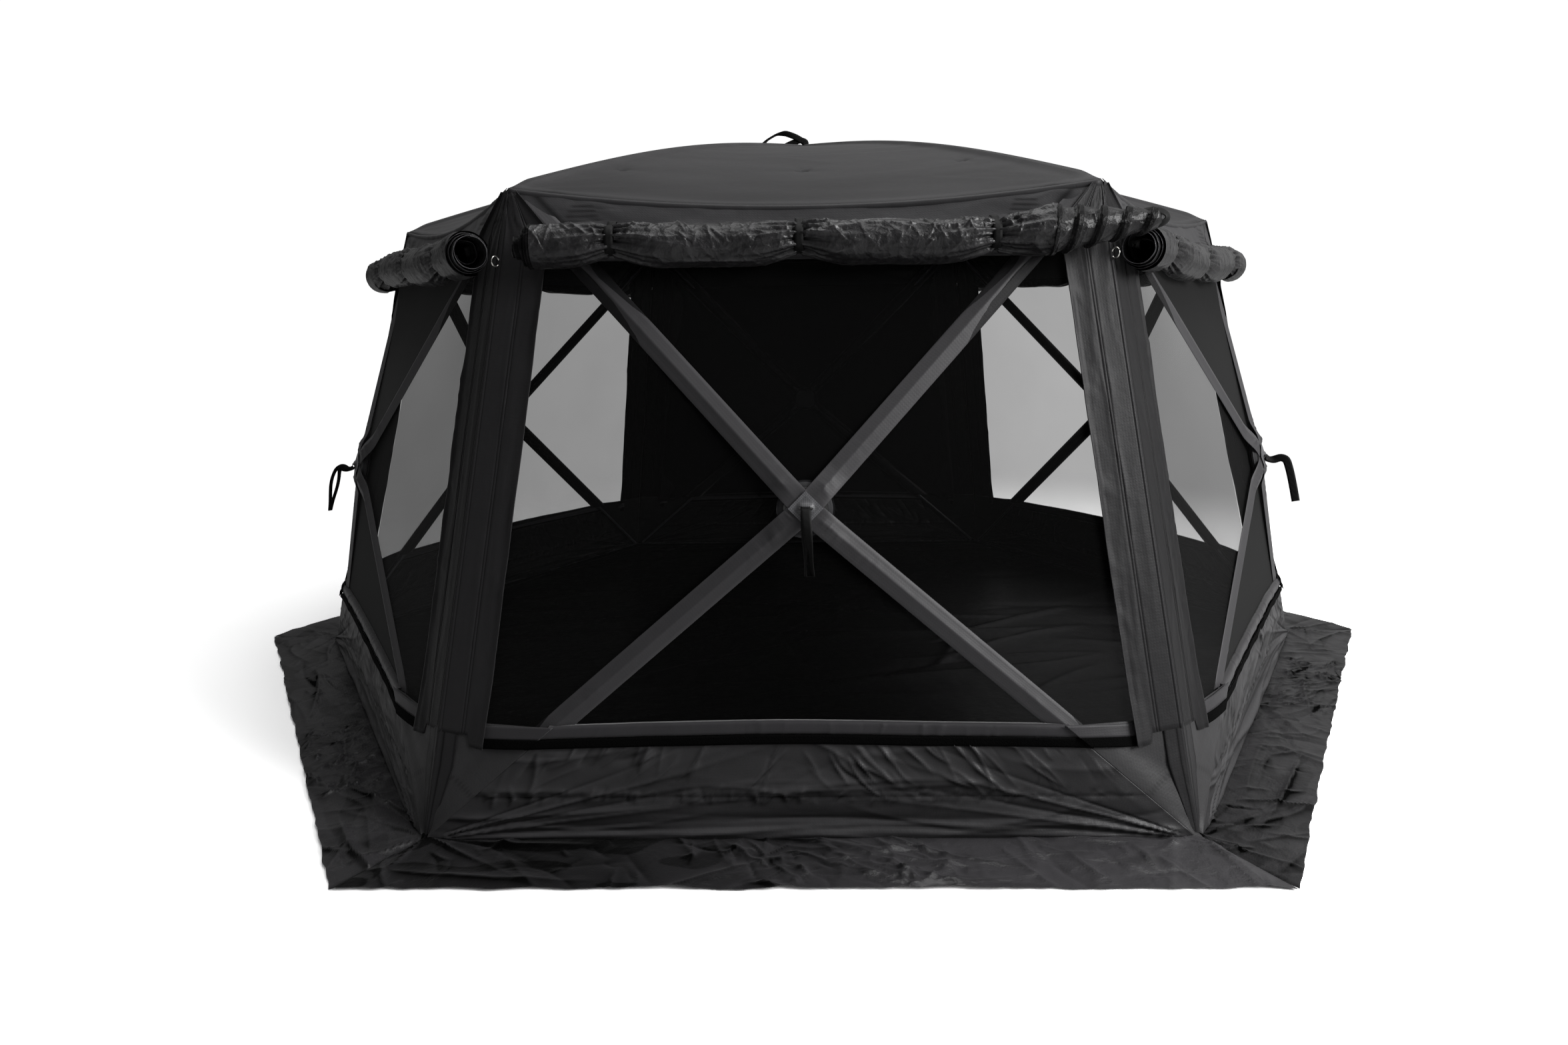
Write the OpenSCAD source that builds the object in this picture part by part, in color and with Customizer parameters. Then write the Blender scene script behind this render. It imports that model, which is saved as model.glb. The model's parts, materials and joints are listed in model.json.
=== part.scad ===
/* [Frame] */
// Distance from the centre of the floor to each base corner, mm
corner_radius = 1905; // [1890:1:1920]
// Distance from the centre line to each roof corner, mm
roof_corner_radius = 1484; // [1474:1:1494]
// Height of the roof corners, mm
roof_height = 1586; // [1576:1:1596]
// Height of the crown above the floor, mm
crown_height = 1862; // [1852:1:1872]
// How far each wall hub stands out of its wall, mm
hub_bulge = 143; // [138:1:148]
// Diameter of the pole rods, mm
rod_diameter = 11; // [9:1:12]

/* [Covering] */
// Width of the ground skirt at the corners, mm
skirt_width = 271; // [200:1:300]
// Height of the sill above the floor, mm
sill_height = 290; // [270:1:310]
// Width of the corner strip on each side of a corner, mm
strip_width = 128; // [110:1:140]
// Depth of the plain band under the roof edge, mm
band_depth = 190; // [170:1:210]
// Radius of the rolled wind panels, mm
roll_radius = 57; // [50:1:60]
// Width of the pole sleeves, mm
sleeve_width = 60; // [54:1:78]

/* [Parts] */
// Part to show

/* [Hidden] */

sides = 6;
half_sector = 180 / sides;
// side of the wall whose wind panel hangs down
back_wall = 1;
// side that faces the viewer; its roll ends in a spiral cone
front_wall = 4;

// wall section, in a frame with x radial, y along the wall, z up
base_apothem = corner_radius * cos(half_sector);
roof_apothem = roof_corner_radius * cos(half_sector);
slant = sqrt(pow(base_apothem - roof_apothem, 2) + pow(roof_height, 2));
up_x = (roof_apothem - base_apothem) / slant;
up_z = roof_height / slant;
tilt = atan2(-up_x, up_z);
hub_level = 0.4965;
hub_x = base_apothem + (roof_apothem - base_apothem) * hub_level + up_z * hub_bulge;
hub_z = roof_height * hub_level - up_x * hub_bulge;
hub_point = [hub_x, 0, hub_z];

// hub castings
hub_radius = 52;
hub_thickness = 22;
pin_circle = 40;
roof_hub_radius = 72;
roof_pin_circle = 60;
roof_hub_z = crown_height - 20;
slot_width = 10;
slot_depth = 12;
pin_diameter = 5;
pin_length = 20;
strap_bar_out = 24;
strap_bar_diameter = 6;
strap_bar_length = 32;
post_spacing = 15;
eps = 0.01;

// pole fittings
tongue_thickness = 8;
tongue_width = 14;
bore_diameter = 5.15;
ferrule_start = 19;
ferrule_length = 34;
ferrule_diameter = 14;
cap_length = 22;
cap_diameter = rod_diameter + 1.5;

// pole tips, set in from the cloth corners so that three tips can meet there
tip_inset = 32;
upper_tip = [roof_apothem - 10, roof_corner_radius / 2 - tip_inset, roof_height - 22];
lower_tip = [base_apothem - 14, corner_radius / 2 - tip_inset, 24];
roof_tip = [roof_corner_radius - 25, 0, roof_height - 15];

// cloth
cloth = 2;
panel_margin = sleeve_width / 2 + 12;
sleeve_bore = 16;
sleeve_wall = 1;
sleeve_end = 62;
web = 1.8;
strap_width = 22;
strap_bore = 7;
strap_length = 146;
loop_radius = 36;
pocket_diameter = 138;
patch_side = 59;
pocket_out = 13;
patch_gap = 0.5;
bar_opening = [50, 24];

function dot(a, b) = a[0] * b[0] + a[1] * b[1] + a[2] * b[2];
function unit(a) = a / norm(a);
function hub_frame(p) = [
  dot(p - hub_point, [up_z, 0, -up_x]),
  p[1],
  dot(p - hub_point, [up_x, 0, up_z])
];

module wall(k) {
  rotate([0, 0, 2 * half_sector * k + half_sector])
    children();
}

module corner(k) {
  rotate([0, 0, 2 * half_sector * k])
    children();
}

// frame of a wall hub: x out of the wall, y along it, z up it
module at_hub(k) {
  wall(k)
    translate(hub_point)
      rotate([0, -tilt, 0])
        children();
}

// frame of the roof hub: x up, y out towards corner k
module at_roof_hub(k) {
  corner(k)
    translate([0, 0, roof_hub_z])
      multmatrix([[0, 1, 0, 0], [0, 0, 1, 0], [1, 0, 0, 0], [0, 0, 0, 1]])
        children();
}

// a rod with a bored tongue at its hinge, a ferrule and an end cap, along +y from its pin
module pole(length) {
  difference() {
    union() {
      translate([0, 0, -tongue_thickness / 2])
        cylinder(d = tongue_width, h = tongue_thickness, $fn = 24);
      translate([-tongue_width / 2 + 1, 0, -tongue_thickness / 2])
        cube([tongue_width - 2, ferrule_start + 2, tongue_thickness]);
    }
    translate([0, 0, -tongue_thickness])
      cylinder(d = bore_diameter, h = 2 * tongue_thickness, $fn = 24);
  }
  translate([0, ferrule_start, 0])
    rotate([-90, 0, 0])
      cylinder(d = ferrule_diameter, h = ferrule_length, $fn = 20);
  translate([0, ferrule_start + 2, 0])
    rotate([-90, 0, 0])
      cylinder(d = rod_diameter, h = length - ferrule_start - 3, $fn = 20);
  translate([0, length - cap_length, 0])
    rotate([-90, 0, 0])
      cylinder(d = cap_diameter, h = cap_length, $fn = 20);
}

// puts a pole on the pin circle so that its far end reaches tip, given in the hub frame
module pole_to(tip, circle) {
  turn = atan2(tip[2], tip[1]);
  reach = norm([tip[1], tip[2]]) - circle;
  lift = atan2(tip[0], reach);
  rotate([turn, 0, 0])
    translate([0, circle, 0])
      rotate([0, 0, -lift])
        pole(norm([reach, tip[0]]));
}

module wall_pole(k, tip, side) {
  at_hub(k)
    pole_to(hub_frame([tip[0], side * tip[1], tip[2]]), pin_circle);
}

module roof_pole(k) {
  reach = roof_tip[0] - roof_pin_circle;
  drop = roof_tip[2] - roof_hub_z;
  at_roof_hub(k)
    translate([0, roof_pin_circle, 0])
      rotate([0, 0, -atan2(drop, reach)])
        pole(norm([reach, drop]));
}

module slot(turn, radius, circle) {
  rotate([turn, 0, 0])
    translate([-hub_thickness, circle - slot_depth, -slot_width / 2])
      cube([2 * hub_thickness, radius, slot_width]);
}

module hinge_pin(turn, circle) {
  rotate([turn, 0, 0])
    translate([0, circle, -pin_length / 2])
      cylinder(d = pin_diameter, h = pin_length, $fn = 24);
}

// a bar on two posts, for the pull strap
module strap_bar() {
  translate([strap_bar_out, -strap_bar_length / 2, 0])
    rotate([-90, 0, 0])
      cylinder(d = strap_bar_diameter, h = strap_bar_length, $fn = 24);
  for (s = [-1, 1])
    translate([hub_thickness / 2 - 2, s * post_spacing, 0])
      rotate([0, 90, 0])
        cylinder(d = strap_bar_diameter - 1, h = strap_bar_out - hub_thickness / 2 + 2, $fn = 20);
}

module hub_body(turns, radius, circle, bar_turn = 0) {
  difference() {
    translate([-hub_thickness / 2, 0, 0])
      rotate([0, 90, 0])
        cylinder(r = radius, h = hub_thickness, $fn = 48);
    for (t = turns)
      slot(t, radius, circle);
  }
  for (t = turns)
    hinge_pin(t, circle);
  rotate([bar_turn, 0, 0])
    strap_bar();
}

module wall_hub(k) {
  color("DimGray")
    at_hub(k)
      hub_body(wall_turns(), hub_radius, pin_circle);
}

function turn_of(p) = atan2(p[2], p[1]);
function wall_turns() = [
  for (s = [-1, 1], tip = [upper_tip, lower_tip])
    turn_of(hub_frame([tip[0], s * tip[1], tip[2]]))
];

module roof_hub() {
  color("DimGray")
    at_roof_hub(0)
      hub_body(
        [for (k = [0 : sides - 1]) 2 * half_sector * k], roof_hub_radius, roof_pin_circle, 90
      );
}

module race_track(r, length) {
  circle(r = r, $fn = 24);
  translate([length, 0])
    circle(r = r, $fn = 24);
  translate([0, -r])
    square([length, 2 * r]);
}

// webbing loop that hangs from the bar of its hub
module pull_strap(k) {
  color("Black")
    at_hub(k)
      translate([strap_bar_out, strap_width / 2, 0])
        rotate([90, 90, 0])
          linear_extrude(strap_width)
            difference() {
              race_track(strap_bore / 2 + web, strap_length);
              race_track(strap_bore / 2, strap_length);
            }
}

// standing webbing loop through the bar on the crown
module roof_pull_loop() {
  color("Black")
    translate([0, strap_width / 2, roof_hub_z + strap_bar_out + loop_radius - 5])
      rotate([90, 0, 0])
        difference() {
          cylinder(r = loop_radius + web, h = strap_width, $fn = 48);
          translate([0, 0, -1])
            cylinder(r = loop_radius, h = strap_width + 2, $fn = 48);
        }
}

// frame of a facet: x along the edge from p to q, y up to the hub point, z out
module on_facet(p, q) {
  ex = unit(q - p);
  foot = p + ex * dot(hub_point - p, ex);
  ey = unit(hub_point - foot);
  ez = cross(ex, ey);
  multmatrix([
    [ex[0], ey[0], ez[0], foot[0]],
    [ex[1], ey[1], ez[1], foot[1]],
    [ex[2], ey[2], ez[2], foot[2]],
    [0, 0, 0, 1]
  ])
    children();
}

function foot_share(p, q) = dot(hub_point - p, unit(q - p));
function facet_height(p, q) = norm(hub_point - p - unit(q - p) * foot_share(p, q));

// slanted limits of a facet at height y, a margin inside the lines to the hub
function low_x(p, q, y, m) =
  -foot_share(p, q) * (1 - y / facet_height(p, q))
  + m * norm([foot_share(p, q), facet_height(p, q)]) / facet_height(p, q);
function high_x(p, q, y, m) =
  (norm(q - p) - foot_share(p, q)) * (1 - y / facet_height(p, q))
  - m * norm([norm(q - p) - foot_share(p, q), facet_height(p, q)]) / facet_height(p, q);

// height at which those limits meet
function inner_apex(p, q, m) =
  facet_height(p, q) - m * (
    norm([foot_share(p, q), facet_height(p, q)])
    + norm([norm(q - p) - foot_share(p, q), facet_height(p, q)])
  ) / norm(q - p);
function screen_top(p, q) = min(facet_height(p, q) - hub_clear, inner_apex(p, q, panel_margin) - 3);

// sheet on a facet between heights y0 and y1
module facet_band(p, q, y0, y1, m = panel_margin, out = 0) {
  on_facet(p, q)
    translate([0, 0, out - cloth / 2])
      linear_extrude(cloth)
        polygon([
          [low_x(p, q, y0, m), y0], [high_x(p, q, y0, m), y0],
          [high_x(p, q, y1, m), y1], [low_x(p, q, y1, m), y1]
        ]);
}

// corners of a wall, anticlockwise seen from outside
roof_left = [roof_apothem, -roof_corner_radius / 2, roof_height];
roof_right = [roof_apothem, roof_corner_radius / 2, roof_height];
base_left = [base_apothem, -corner_radius / 2, 0];
base_right = [base_apothem, corner_radius / 2, 0];
top_reach = facet_height(roof_right, roof_left);
side_reach = facet_height(base_right, roof_right);
bottom_reach = facet_height(base_left, base_right);
edge_gap = 6;
seam = 1;
// the panels stop short of the hub patch
hub_clear = 62;

module floor_sheet() {
  color("Black")
    cylinder(r = corner_radius - 30, h = 3, $fn = sides);
}

module ground_skirt() {
  color("Black")
    difference() {
      cylinder(r = corner_radius + skirt_width, h = 3, $fn = sides);
      translate([0, 0, -1])
        cylinder(r = corner_radius + 4, h = 5, $fn = sides);
    }
}

module kick_panels() {
  color([0.16, 0.16, 0.17])
    for (k = [0 : sides - 1])
      wall(k)
        facet_band(base_left, base_right, edge_gap, sill_height - 42);
}

module sill_strips() {
  color([0.25, 0.25, 0.26])
    for (k = [0 : sides - 1])
      wall(k)
        facet_band(base_left, base_right, sill_height - 41, sill_height - 1, panel_margin, 0.5);
}

module wall_screens() {
  color([0.35, 0.35, 0.36])
    for (k = [0 : sides - 1])
      wall(k) {
        facet_band(base_left, base_right, sill_height, screen_top(base_left, base_right));
        facet_band(roof_right, roof_left, band_depth + seam, screen_top(roof_right, roof_left));
        facet_band(base_right, roof_right, strip_width + seam, screen_top(base_right, roof_right));
        facet_band(roof_left, base_left, strip_width + seam, screen_top(roof_left, base_left));
      }
}

module corner_strips() {
  color([0.2, 0.2, 0.21])
    for (k = [0 : sides - 1])
      wall(k) {
        facet_band(base_right, roof_right, edge_gap, strip_width);
        facet_band(roof_left, base_left, edge_gap, strip_width);
      }
}

module top_bands() {
  color([0.2, 0.2, 0.21])
    for (k = [0 : sides - 1])
      wall(k)
        facet_band(roof_right, roof_left, edge_gap, band_depth);
}

// flat tunnel around one rod, along +y from its pin
module sleeve(start, length, width) {
  translate([0, start, 0])
    rotate([-90, 0, 0])
      difference() {
        union() {
          cylinder(d = sleeve_bore + 2 * sleeve_wall, h = length, $fn = 24);
          translate([-cloth / 2, -width / 2, 0])
            cube([cloth, width, length]);
        }
        translate([0, 0, -1])
          cylinder(d = sleeve_bore, h = length + 2, $fn = 24);
      }
}

module sleeve_to(tip, circle, width) {
  reach = norm([tip[1], tip[2]]) - circle;
  lift = atan2(tip[0], reach);
  run = norm([reach, tip[0]]);
  rotate([atan2(tip[2], tip[1]), 0, 0])
    translate([0, circle, 0])
      rotate([0, 0, -lift])
        sleeve(hub_clear - circle + 20, run - hub_clear + circle - 20 - sleeve_end, width);
}

module pole_sleeves() {
  color([0.3, 0.3, 0.31]) {
    for (k = [0 : sides - 1], s = [-1, 1], tip = [upper_tip, lower_tip])
      at_hub(k)
        sleeve_to(hub_frame([tip[0], s * tip[1], tip[2]]), pin_circle, sleeve_width);
    for (k = [0 : sides - 1])
      at_roof_hub(k)
        sleeve_to(
          [roof_tip[2] - roof_hub_z, roof_tip[0], 0], roof_pin_circle,
          sleeve_bore + 2 * sleeve_wall
        );
  }
}

module canopy_cone(h) {
  cylinder(r1 = roof_corner_radius + 5, r2 = 90, h = h, $fn = sides);
}

module roof_canopy() {
  color([0.22, 0.22, 0.23])
    difference() {
      translate([0, 0, roof_height])
        canopy_cone(crown_height - roof_height);
      translate([0, 0, roof_height - 3.2])
        canopy_cone(crown_height - roof_height);
      cylinder(r = 30, h = 2 * crown_height, $fn = 32);
    }
}

// the one wind panel that hangs down, outside the screen
module back_wind_panel() {
  out = 16;
  color([0.12, 0.12, 0.13])
    wall(back_wall) {
      facet_band(base_left, base_right, sill_height - 20, bottom_reach - hub_clear - 30, 6, out);
      facet_band(roof_right, roof_left, band_depth - 20, top_reach - hub_clear - 30, 6, out);
      facet_band(base_right, roof_right, strip_width, side_reach - hub_clear - 30, 6, out);
      facet_band(roof_left, base_left, strip_width, side_reach - hub_clear - 30, 6, out);
    }
}

// centre line of a rolled panel
roll_drop = 175;
roll_gap = 15;
edge_dir = unit([hub_x - roof_apothem, 0, hub_z - roof_height]);
roll_x = roof_apothem + edge_dir[0] * roll_drop - edge_dir[2] * (roll_radius + roll_gap);
roll_z = roof_height + edge_dir[2] * roll_drop + edge_dir[0] * (roll_radius + roll_gap);
roll_half = 700;
roll_bore = 24;
cone_length = 150;

module at_roll(k) {
  wall(k)
    translate([roll_x, 0, roll_z])
      rotate([-90, 0, 0])
        children();
}

module roll(k) {
  at_roll(k)
    difference() {
      union() {
        translate([0, 0, -roll_half])
          cylinder(r = roll_radius, h = 2 * roll_half, $fn = 28);
        if (k == front_wall)
          translate([0, 0, roll_half - eps])
            cylinder(r1 = roll_radius, r2 = 20, h = cone_length, $fn = 28);
      }
      translate([0, 0, -roll_half - 1])
        cylinder(d = roll_bore, h = 2 * roll_half + cone_length + 2, $fn = 20);
    }
}

module rolled_wind_panels() {
  color([0.14, 0.14, 0.15])
    for (k = [0 : sides - 1])
      if (k != back_wall)
        roll(k);
}

tie_spacing = 487;

module roll_ties() {
  color("Black")
    for (k = [0 : sides - 1], s = [-1, 0, 1])
      if (k != back_wall)
        at_roll(k)
          translate([0, 0, s * tie_spacing - 13])
            difference() {
              cylinder(r = roll_radius + 1 + web, h = 26, $fn = 28);
              translate([0, 0, -1])
                cylinder(r = roll_radius + 1, h = 28, $fn = 28);
            }
}

ring_drop = 150;
ring_radius = 15;
ring_wire = 4;

module tie_rings() {
  color("Silver")
    for (k = [0 : sides - 1])
      corner(k)
        translate([roof_corner_radius + ring_drop * 0.2655 + 22, 0, roof_height - ring_drop])
          rotate([90, 0, 0])
            rotate_extrude($fn = 32)
              translate([ring_radius, 0])
                circle(d = ring_wire, $fn = 14);
}

// opening in the cloth over a hub, round its strap bar
module bar_slit() {
  translate([0, -bar_opening[0] / 2, -bar_opening[1] / 2])
    cube([2 * pocket_out, bar_opening[0], bar_opening[1]]);
}

// round cloth pocket over each hub
module hub_pockets() {
  color([0.26, 0.26, 0.27])
    for (k = [0 : sides - 1])
      at_hub(k)
        difference() {
          translate([pocket_out, 0, 0])
            rotate([0, 90, 0])
              cylinder(d = pocket_diameter, h = cloth, $fn = 48);
          bar_slit();
        }
}

// square reflective patch set corner up on each pocket
module hub_patches() {
  color([0.45, 0.45, 0.46])
    for (k = [0 : sides - 1])
      at_hub(k)
        difference() {
          rotate([45, 0, 0])
            translate([pocket_out + cloth + patch_gap, -patch_side / 2, -patch_side / 2])
              cube([cloth, patch_side, patch_side]);
          bar_slit();
        }
}

module upper_pole(k, side) {
  color("SlateGray")
    wall_pole(k, upper_tip, side);
}

module lower_pole(k, side) {
  color("SlateGray")
    wall_pole(k, lower_tip, side);
}

module roof_rod(k) {
  color("SlateGray")
    roof_pole(k);
}

floor_sheet();
ground_skirt();
kick_panels();
sill_strips();
wall_screens();
corner_strips();
top_bands();
pole_sleeves();
roof_canopy();
back_wind_panel();
rolled_wind_panels();
roll_ties();
tie_rings();
hub_pockets();
hub_patches();
roof_hub();
roof_pull_loop();
roof_rod(0);  // roof_pole_0
roof_rod(1);  // roof_pole_1
roof_rod(2);  // roof_pole_2
roof_rod(3);  // roof_pole_3
roof_rod(4);  // roof_pole_4
roof_rod(5);  // roof_pole_5
wall_hub(0);  // wall_hub_0
wall_hub(1);  // wall_hub_1
wall_hub(2);  // wall_hub_2
wall_hub(3);  // wall_hub_3
wall_hub(4);  // wall_hub_4
wall_hub(5);  // wall_hub_5
pull_strap(0);  // pull_strap_0
pull_strap(1);  // pull_strap_1
pull_strap(2);  // pull_strap_2
pull_strap(3);  // pull_strap_3
pull_strap(4);  // pull_strap_4
pull_strap(5);  // pull_strap_5
upper_pole(0, -1);  // upper_pole_0_a
upper_pole(0, 1);  // upper_pole_0_b
lower_pole(0, -1);  // lower_pole_0_a
lower_pole(0, 1);  // lower_pole_0_b
upper_pole(1, -1);  // upper_pole_1_a
upper_pole(1, 1);  // upper_pole_1_b
lower_pole(1, -1);  // lower_pole_1_a
lower_pole(1, 1);  // lower_pole_1_b
upper_pole(2, -1);  // upper_pole_2_a
upper_pole(2, 1);  // upper_pole_2_b
lower_pole(2, -1);  // lower_pole_2_a
lower_pole(2, 1);  // lower_pole_2_b
upper_pole(3, -1);  // upper_pole_3_a
upper_pole(3, 1);  // upper_pole_3_b
lower_pole(3, -1);  // lower_pole_3_a
lower_pole(3, 1);  // lower_pole_3_b
upper_pole(4, -1);  // upper_pole_4_a
upper_pole(4, 1);  // upper_pole_4_b
lower_pole(4, -1);  // lower_pole_4_a
lower_pole(4, 1);  // lower_pole_4_b
upper_pole(5, -1);  // upper_pole_5_a
upper_pole(5, 1);  // upper_pole_5_b
lower_pole(5, -1);  // lower_pole_5_a
lower_pole(5, 1);  // lower_pole_5_b
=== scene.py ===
import json
import math

import bpy
import numpy as np
from mathutils import Matrix, Vector, noise


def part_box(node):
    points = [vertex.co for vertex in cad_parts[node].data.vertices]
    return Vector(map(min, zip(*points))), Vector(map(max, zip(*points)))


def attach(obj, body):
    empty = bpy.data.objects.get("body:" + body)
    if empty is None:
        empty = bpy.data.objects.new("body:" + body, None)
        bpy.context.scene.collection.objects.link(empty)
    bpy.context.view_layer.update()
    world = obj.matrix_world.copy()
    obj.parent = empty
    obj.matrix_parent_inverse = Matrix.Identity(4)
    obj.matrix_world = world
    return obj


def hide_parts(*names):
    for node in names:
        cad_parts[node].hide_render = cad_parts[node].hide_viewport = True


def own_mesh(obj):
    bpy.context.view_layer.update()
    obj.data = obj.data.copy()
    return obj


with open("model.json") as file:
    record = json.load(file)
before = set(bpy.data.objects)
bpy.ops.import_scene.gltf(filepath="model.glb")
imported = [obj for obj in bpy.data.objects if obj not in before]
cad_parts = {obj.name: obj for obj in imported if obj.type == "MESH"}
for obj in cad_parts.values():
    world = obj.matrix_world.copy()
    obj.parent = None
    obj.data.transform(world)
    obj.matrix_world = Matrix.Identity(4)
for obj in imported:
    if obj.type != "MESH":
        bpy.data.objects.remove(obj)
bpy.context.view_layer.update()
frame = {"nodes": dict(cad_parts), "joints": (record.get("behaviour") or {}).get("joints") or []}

# ---- driving dimensions, metres, from the frame ----
SIDES = 6
BACK_WALL = 1
FRONT_WALL = 4
BASE_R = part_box("floor_sheet")[1].x + 0.030
SKIRT_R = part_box("ground_skirt")[1].x
ROOF_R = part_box("roof_canopy")[1].x - 0.005
ROOF_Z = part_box("roof_canopy")[0].z
CROWN_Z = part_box("roof_canopy")[1].z
SILL_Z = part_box("sill_strips")[1].z
STRIP_W = 0.128
BAND_W = 0.190
SLEEVE_W = 0.060
STRAP_OUT = 0.024
COS30 = math.cos(math.pi / 6)
ROOF_A = ROOF_R * COS30
JOINT = {j["name"]: j for j in frame["joints"]}
CLOTH = 0.0012  # thickness of a single cloth layer
UP = np.array([0.0, 0.0, 1.0])


def unit(v):
    v = np.asarray(v, float)
    return v / np.linalg.norm(v)


def polar(angle_deg, r, z):
    a = math.radians(angle_deg)
    return np.array([r * math.cos(a), r * math.sin(a), z])


def smooth(x):
    x = np.clip(x, 0.0, 1.0)
    return x * x * (3 - 2 * x)


def hump(x, centre, width):
    """1 at the centre, falling away smoothly on both sides."""
    return np.exp(-(((x - centre) / width) ** 2))


class Wall:
    """One side of the shelter: its corners, its hub and its directions."""

    def __init__(self, k):
        self.k = k
        mid = 60 * k + 30
        self.radial = polar(mid, 1, 0)
        self.along = polar(mid + 90, 1, 0)
        self.base = [polar(60 * k, BASE_R, 0), polar(60 * k + 60, BASE_R, 0)]
        self.roof = [polar(60 * k, ROOF_R, ROOF_Z), polar(60 * k + 60, ROOF_R, ROOF_Z)]
        strap = JOINT[f"pull_strap_{k}_swing"]
        self.up = unit(unit(self.roof[0] + self.roof[1] - self.base[0] - self.base[1]))
        self.out = np.cross(self.along, self.up)
        self.hub = np.array(strap["pos_m"]) - STRAP_OUT * self.out


WALLS = [Wall(k) for k in range(SIDES)]


def outward(n, w):
    """n or its opposite, whichever points away from the shelter's middle."""
    return n if n @ w.radial >= 0 else -n


def pin(pole):
    """Where a pole is pinned to its hub."""
    return np.array(JOINT[pole + "_fold"]["pos_m"])


def pole_tip(pole):
    """The far end of a pole: the middle of its node's 24 vertices furthest from the pin."""
    verts = np.array([v.co for v in frame["nodes"][pole].data.vertices])
    far = verts[np.linalg.norm(verts - pin(pole), axis=1).argsort()[-24:]]
    return far.mean(axis=0)


TIPS = {j["child"]: pole_tip(j["child"]) for j in frame["joints"] if "pole" in j["child"]}


def pole_ray(pole):
    """A pole's pin and its direction."""
    start = pin(pole)
    return start, unit(TIPS[pole] - start)


def from_pole(pts, pole):
    """Distance of points from a pole's line."""
    start, g = pole_ray(pole)
    rel = pts - start
    return np.linalg.norm(rel - (rel @ g)[..., None] * g, axis=-1)


# ---- noise ----
def wobble(points, scale, seed):
    """Smooth noise in -1..1 for each point."""
    flat = np.asarray(points, float).reshape(-1, 3) / scale
    shift = Vector((17.3 * seed, -9.1 * seed, 5.7 * seed))
    out = np.array([noise.noise(Vector(p) + shift) for p in flat])
    return out.reshape(np.asarray(points).shape[:-1])


def stretch(points, origin, axis, factor):
    """Points scaled along one axis, so that noise read from them runs in long folds."""
    axis = unit(axis)
    rel = np.asarray(points) - origin
    along = rel @ axis
    return rel + np.multiply.outer(along * (factor - 1), axis)


def creases(u, v, count, seed, span, heading, spread, length, width, height):
    """Straight sharp folds at random places on a flat sheet, most of them near one heading (radians)."""
    rng = np.random.default_rng(seed)
    total = np.zeros_like(u)
    for _ in range(count):
        cu = rng.uniform(*span[0])
        cv = rng.uniform(*span[1])
        angle = heading + rng.normal(0, spread)
        reach = length * rng.uniform(0.5, 1.5)
        wide = width * rng.uniform(0.6, 1.6)
        tall = height * rng.uniform(0.3, 1.0) * rng.choice([-0.6, 1.0, 1.0])
        bend = rng.normal(0, 0.12) / reach
        along = (u - cu) * math.cos(angle) + (v - cv) * math.sin(angle)
        off = (v - cv) * math.cos(angle) - (u - cu) * math.sin(angle) - bend * along**2
        total += tall * np.exp(-np.abs(off) / wide) * np.clip(1 - (along / reach) ** 2, 0, 1)
    return total


def fold_shade(relief, u, v, strength):
    """Painted light and shade on folds: lighter where they face up and to the right, darker on their other
    sides.
    """
    across = np.gradient(relief, axis=1) / np.gradient(u, axis=1)
    upward = np.gradient(relief, axis=0) / np.gradient(v, axis=0)
    return np.clip(-strength * (0.9 * upward + 0.25 * across), -0.75, 0.60)


def ridge_light(relief, x, y):
    """How far folds on the floor lean towards the front and the right, from polar rows and columns; it sets
    their painted highlights.
    """
    by_row = np.gradient(relief, axis=0)
    by_col = np.gradient(relief, axis=1)
    x_row, x_col = np.gradient(x, axis=0), np.gradient(x, axis=1)
    y_row, y_col = np.gradient(y, axis=0), np.gradient(y, axis=1)
    size = x_row * y_col - x_col * y_row
    size = np.where(np.abs(size) < 1e-9, 1e-9, size)
    by_x = (by_row * y_col - by_col * y_row) / size
    by_y = (by_col * x_row - by_row * x_col) / size
    return np.clip(0.5 * by_y - 0.5 * by_x, -1, 1)


def fan(u, v, cu, cv, headings, narrow, height, fade):
    """Tension folds that radiate from one point at the given headings, dying out with distance."""
    du, dv = u - cu, v - cv
    reach = np.hypot(du, dv)
    angle = np.arctan2(dv, du)
    total = np.zeros_like(u)
    for i, heading in enumerate(headings):
        off = np.abs(np.angle(np.exp(1j * (angle - heading))))
        total += (1 if i % 2 == 0 else -0.7) * np.exp(-off / narrow)
    return total * height * np.exp(-reach / fade) * smooth(reach / 0.06)


# ---- materials ----
def new_material(name):
    mat = bpy.data.materials.new(name)
    mat.use_nodes = True
    tree = mat.node_tree
    return mat, tree, tree.nodes["Principled BSDF"]


def link(tree, a, b):
    tree.links.new(a, b)


def node(tree, kind, **values):
    n = tree.nodes.new(kind)
    for key, value in values.items():
        if key in n.inputs:
            n.inputs[key].default_value = value
        else:
            setattr(n, key, value)
    return n


def math_node(tree, op, a, b=None):
    n = node(tree, "ShaderNodeMath", operation=op)
    for i, v in enumerate((a, b)):
        if v is None:
            continue
        if isinstance(v, (int, float)):
            n.inputs[i].default_value = v
        else:
            link(tree, v, n.inputs[i])
    return n.outputs[0]


def tint(tree, bsdf, colour, value):
    """Base colour: one colour scaled by a value."""
    scale = node(tree, "ShaderNodeVectorMath", operation="SCALE")
    scale.inputs[0].default_value = colour
    link(tree, value, scale.inputs["Scale"])
    link(tree, scale.outputs[0], bsdf.inputs["Base Color"])


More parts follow.
